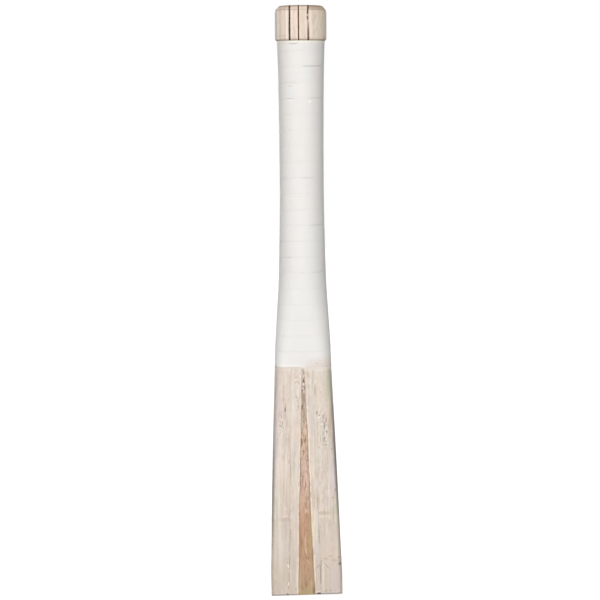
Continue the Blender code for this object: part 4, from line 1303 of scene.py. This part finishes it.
def make_world():
    """Soft studio light, plain white to the camera."""
    world = bpy.data.worlds.new("studio")
    tree = emptied_tree(world)
    ray = tree.node("ShaderNodeTexCoord").outputs["Generated"]
    ray_x = tree.split(ray)[0]
    front = soft_lobe(tree, ray, FRONT_DIRECTION, FRONT_LIGHT, FRONT_FOCUS)
    front = tree.times(front, *(tree.step(ray_x, *card, 1.0, 0.0) for card in CARDS))
    back = [soft_lobe(tree, ray, direction, BACK_LIGHT, BACK_FOCUS) for direction in BACK_DIRECTIONS]
    strength = tree.plus(front, AMBIENT, *back)
    light = tree.node("ShaderNodeBackground", {"Color": LIGHT_COLOUR, "Strength": strength})
    white = tree.node("ShaderNodeBackground", {"Color": WHITE, "Strength": 1.0})
    inputs = {0: shown_plain(tree), 1: light.outputs[0], 2: white.outputs[0]}
    both = tree.node("ShaderNodeMixShader", inputs)
    tree.node("ShaderNodeOutputWorld", {"Surface": both.outputs[0]})
    bpy.context.scene.world = world


def make_floor():
    """Pale floor that the block stands on, white to the camera but for the soft shadow."""
    bpy.ops.mesh.primitive_plane_add(size=FLOOR_SIZE, location=(0.0, 0.0, FLOOR_Z))
    floor = bpy.context.object
    floor.name = "floor"
    material = bpy.data.materials.new("floor")
    tree = emptied_tree(material)
    matt = tree.node("ShaderNodeBsdfDiffuse", {"Color": FLOOR_COLOUR})
    glow = tree.node("ShaderNodeEmission", {"Strength": tree.times(shown_plain(tree), FLOOR_GLOW)})
    both = tree.node("ShaderNodeAddShader", {0: matt.outputs[0], 1: glow.outputs[0]})
    tree.node("ShaderNodeOutputMaterial", {"Surface": both.outputs[0]})
    floor.data.materials.append(material)


def dress(piece, node, material):
    """Put a piece in the place of a node of the frame."""
    piece.data.materials.append(material)
    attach(piece, "root")
    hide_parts(node)


def make_laminate():
    """All canes, the three strips and the wedge, in place of their plain solids."""
    seed = 1.0
    for slab in SLAB_COLOURS:
        for depth in ("front", "middle", "back"):
            cane = make_cane(slab, depth, seed)
            dress(cane, f"cane_{slab}_{depth}", cane_wood(slab, depth, seed))
            seed += SEED_STEP
    above_end = [s for s in STATIONS if s.z >= STRIP_END_Z - SAME_HEIGHT]
    above_splay = [s for s in STATIONS if s.z >= SPLAY_Z + SAME_HEIGHT]
    below_splay = [s for s in STATIONS if s.z <= SPLAY_Z + SAME_HEIGHT]
    for side, seam, half, stations in (
        ("left", LEFT_SEAM, side_strip_half, above_end),
        ("middle", MIDDLE_SEAM, wedge_half, above_splay),
        ("right", RIGHT_SEAM, side_strip_half, above_end),
    ):
        strip = make_filler(f"{side}_spring", seam, half, stations, seed)
        dress(strip, f"spring_strip_{side}", strip_rubber(side, seed))
        seed += SEED_STEP
    wedge = make_filler("hardwood_wedge", MIDDLE_SEAM, wedge_half, below_splay, seed)
    dress(wedge, "splice_wedge", wedge_wood())


def main():
    """Camera, light, floor and every piece of the handle."""
    make_camera()
    make_world()
    make_floor()
    make_laminate()
    dress(make_binding(), "binding_tape", binding_cotton())
    bpy.context.scene.view_settings.view_transform = "Standard"


main()
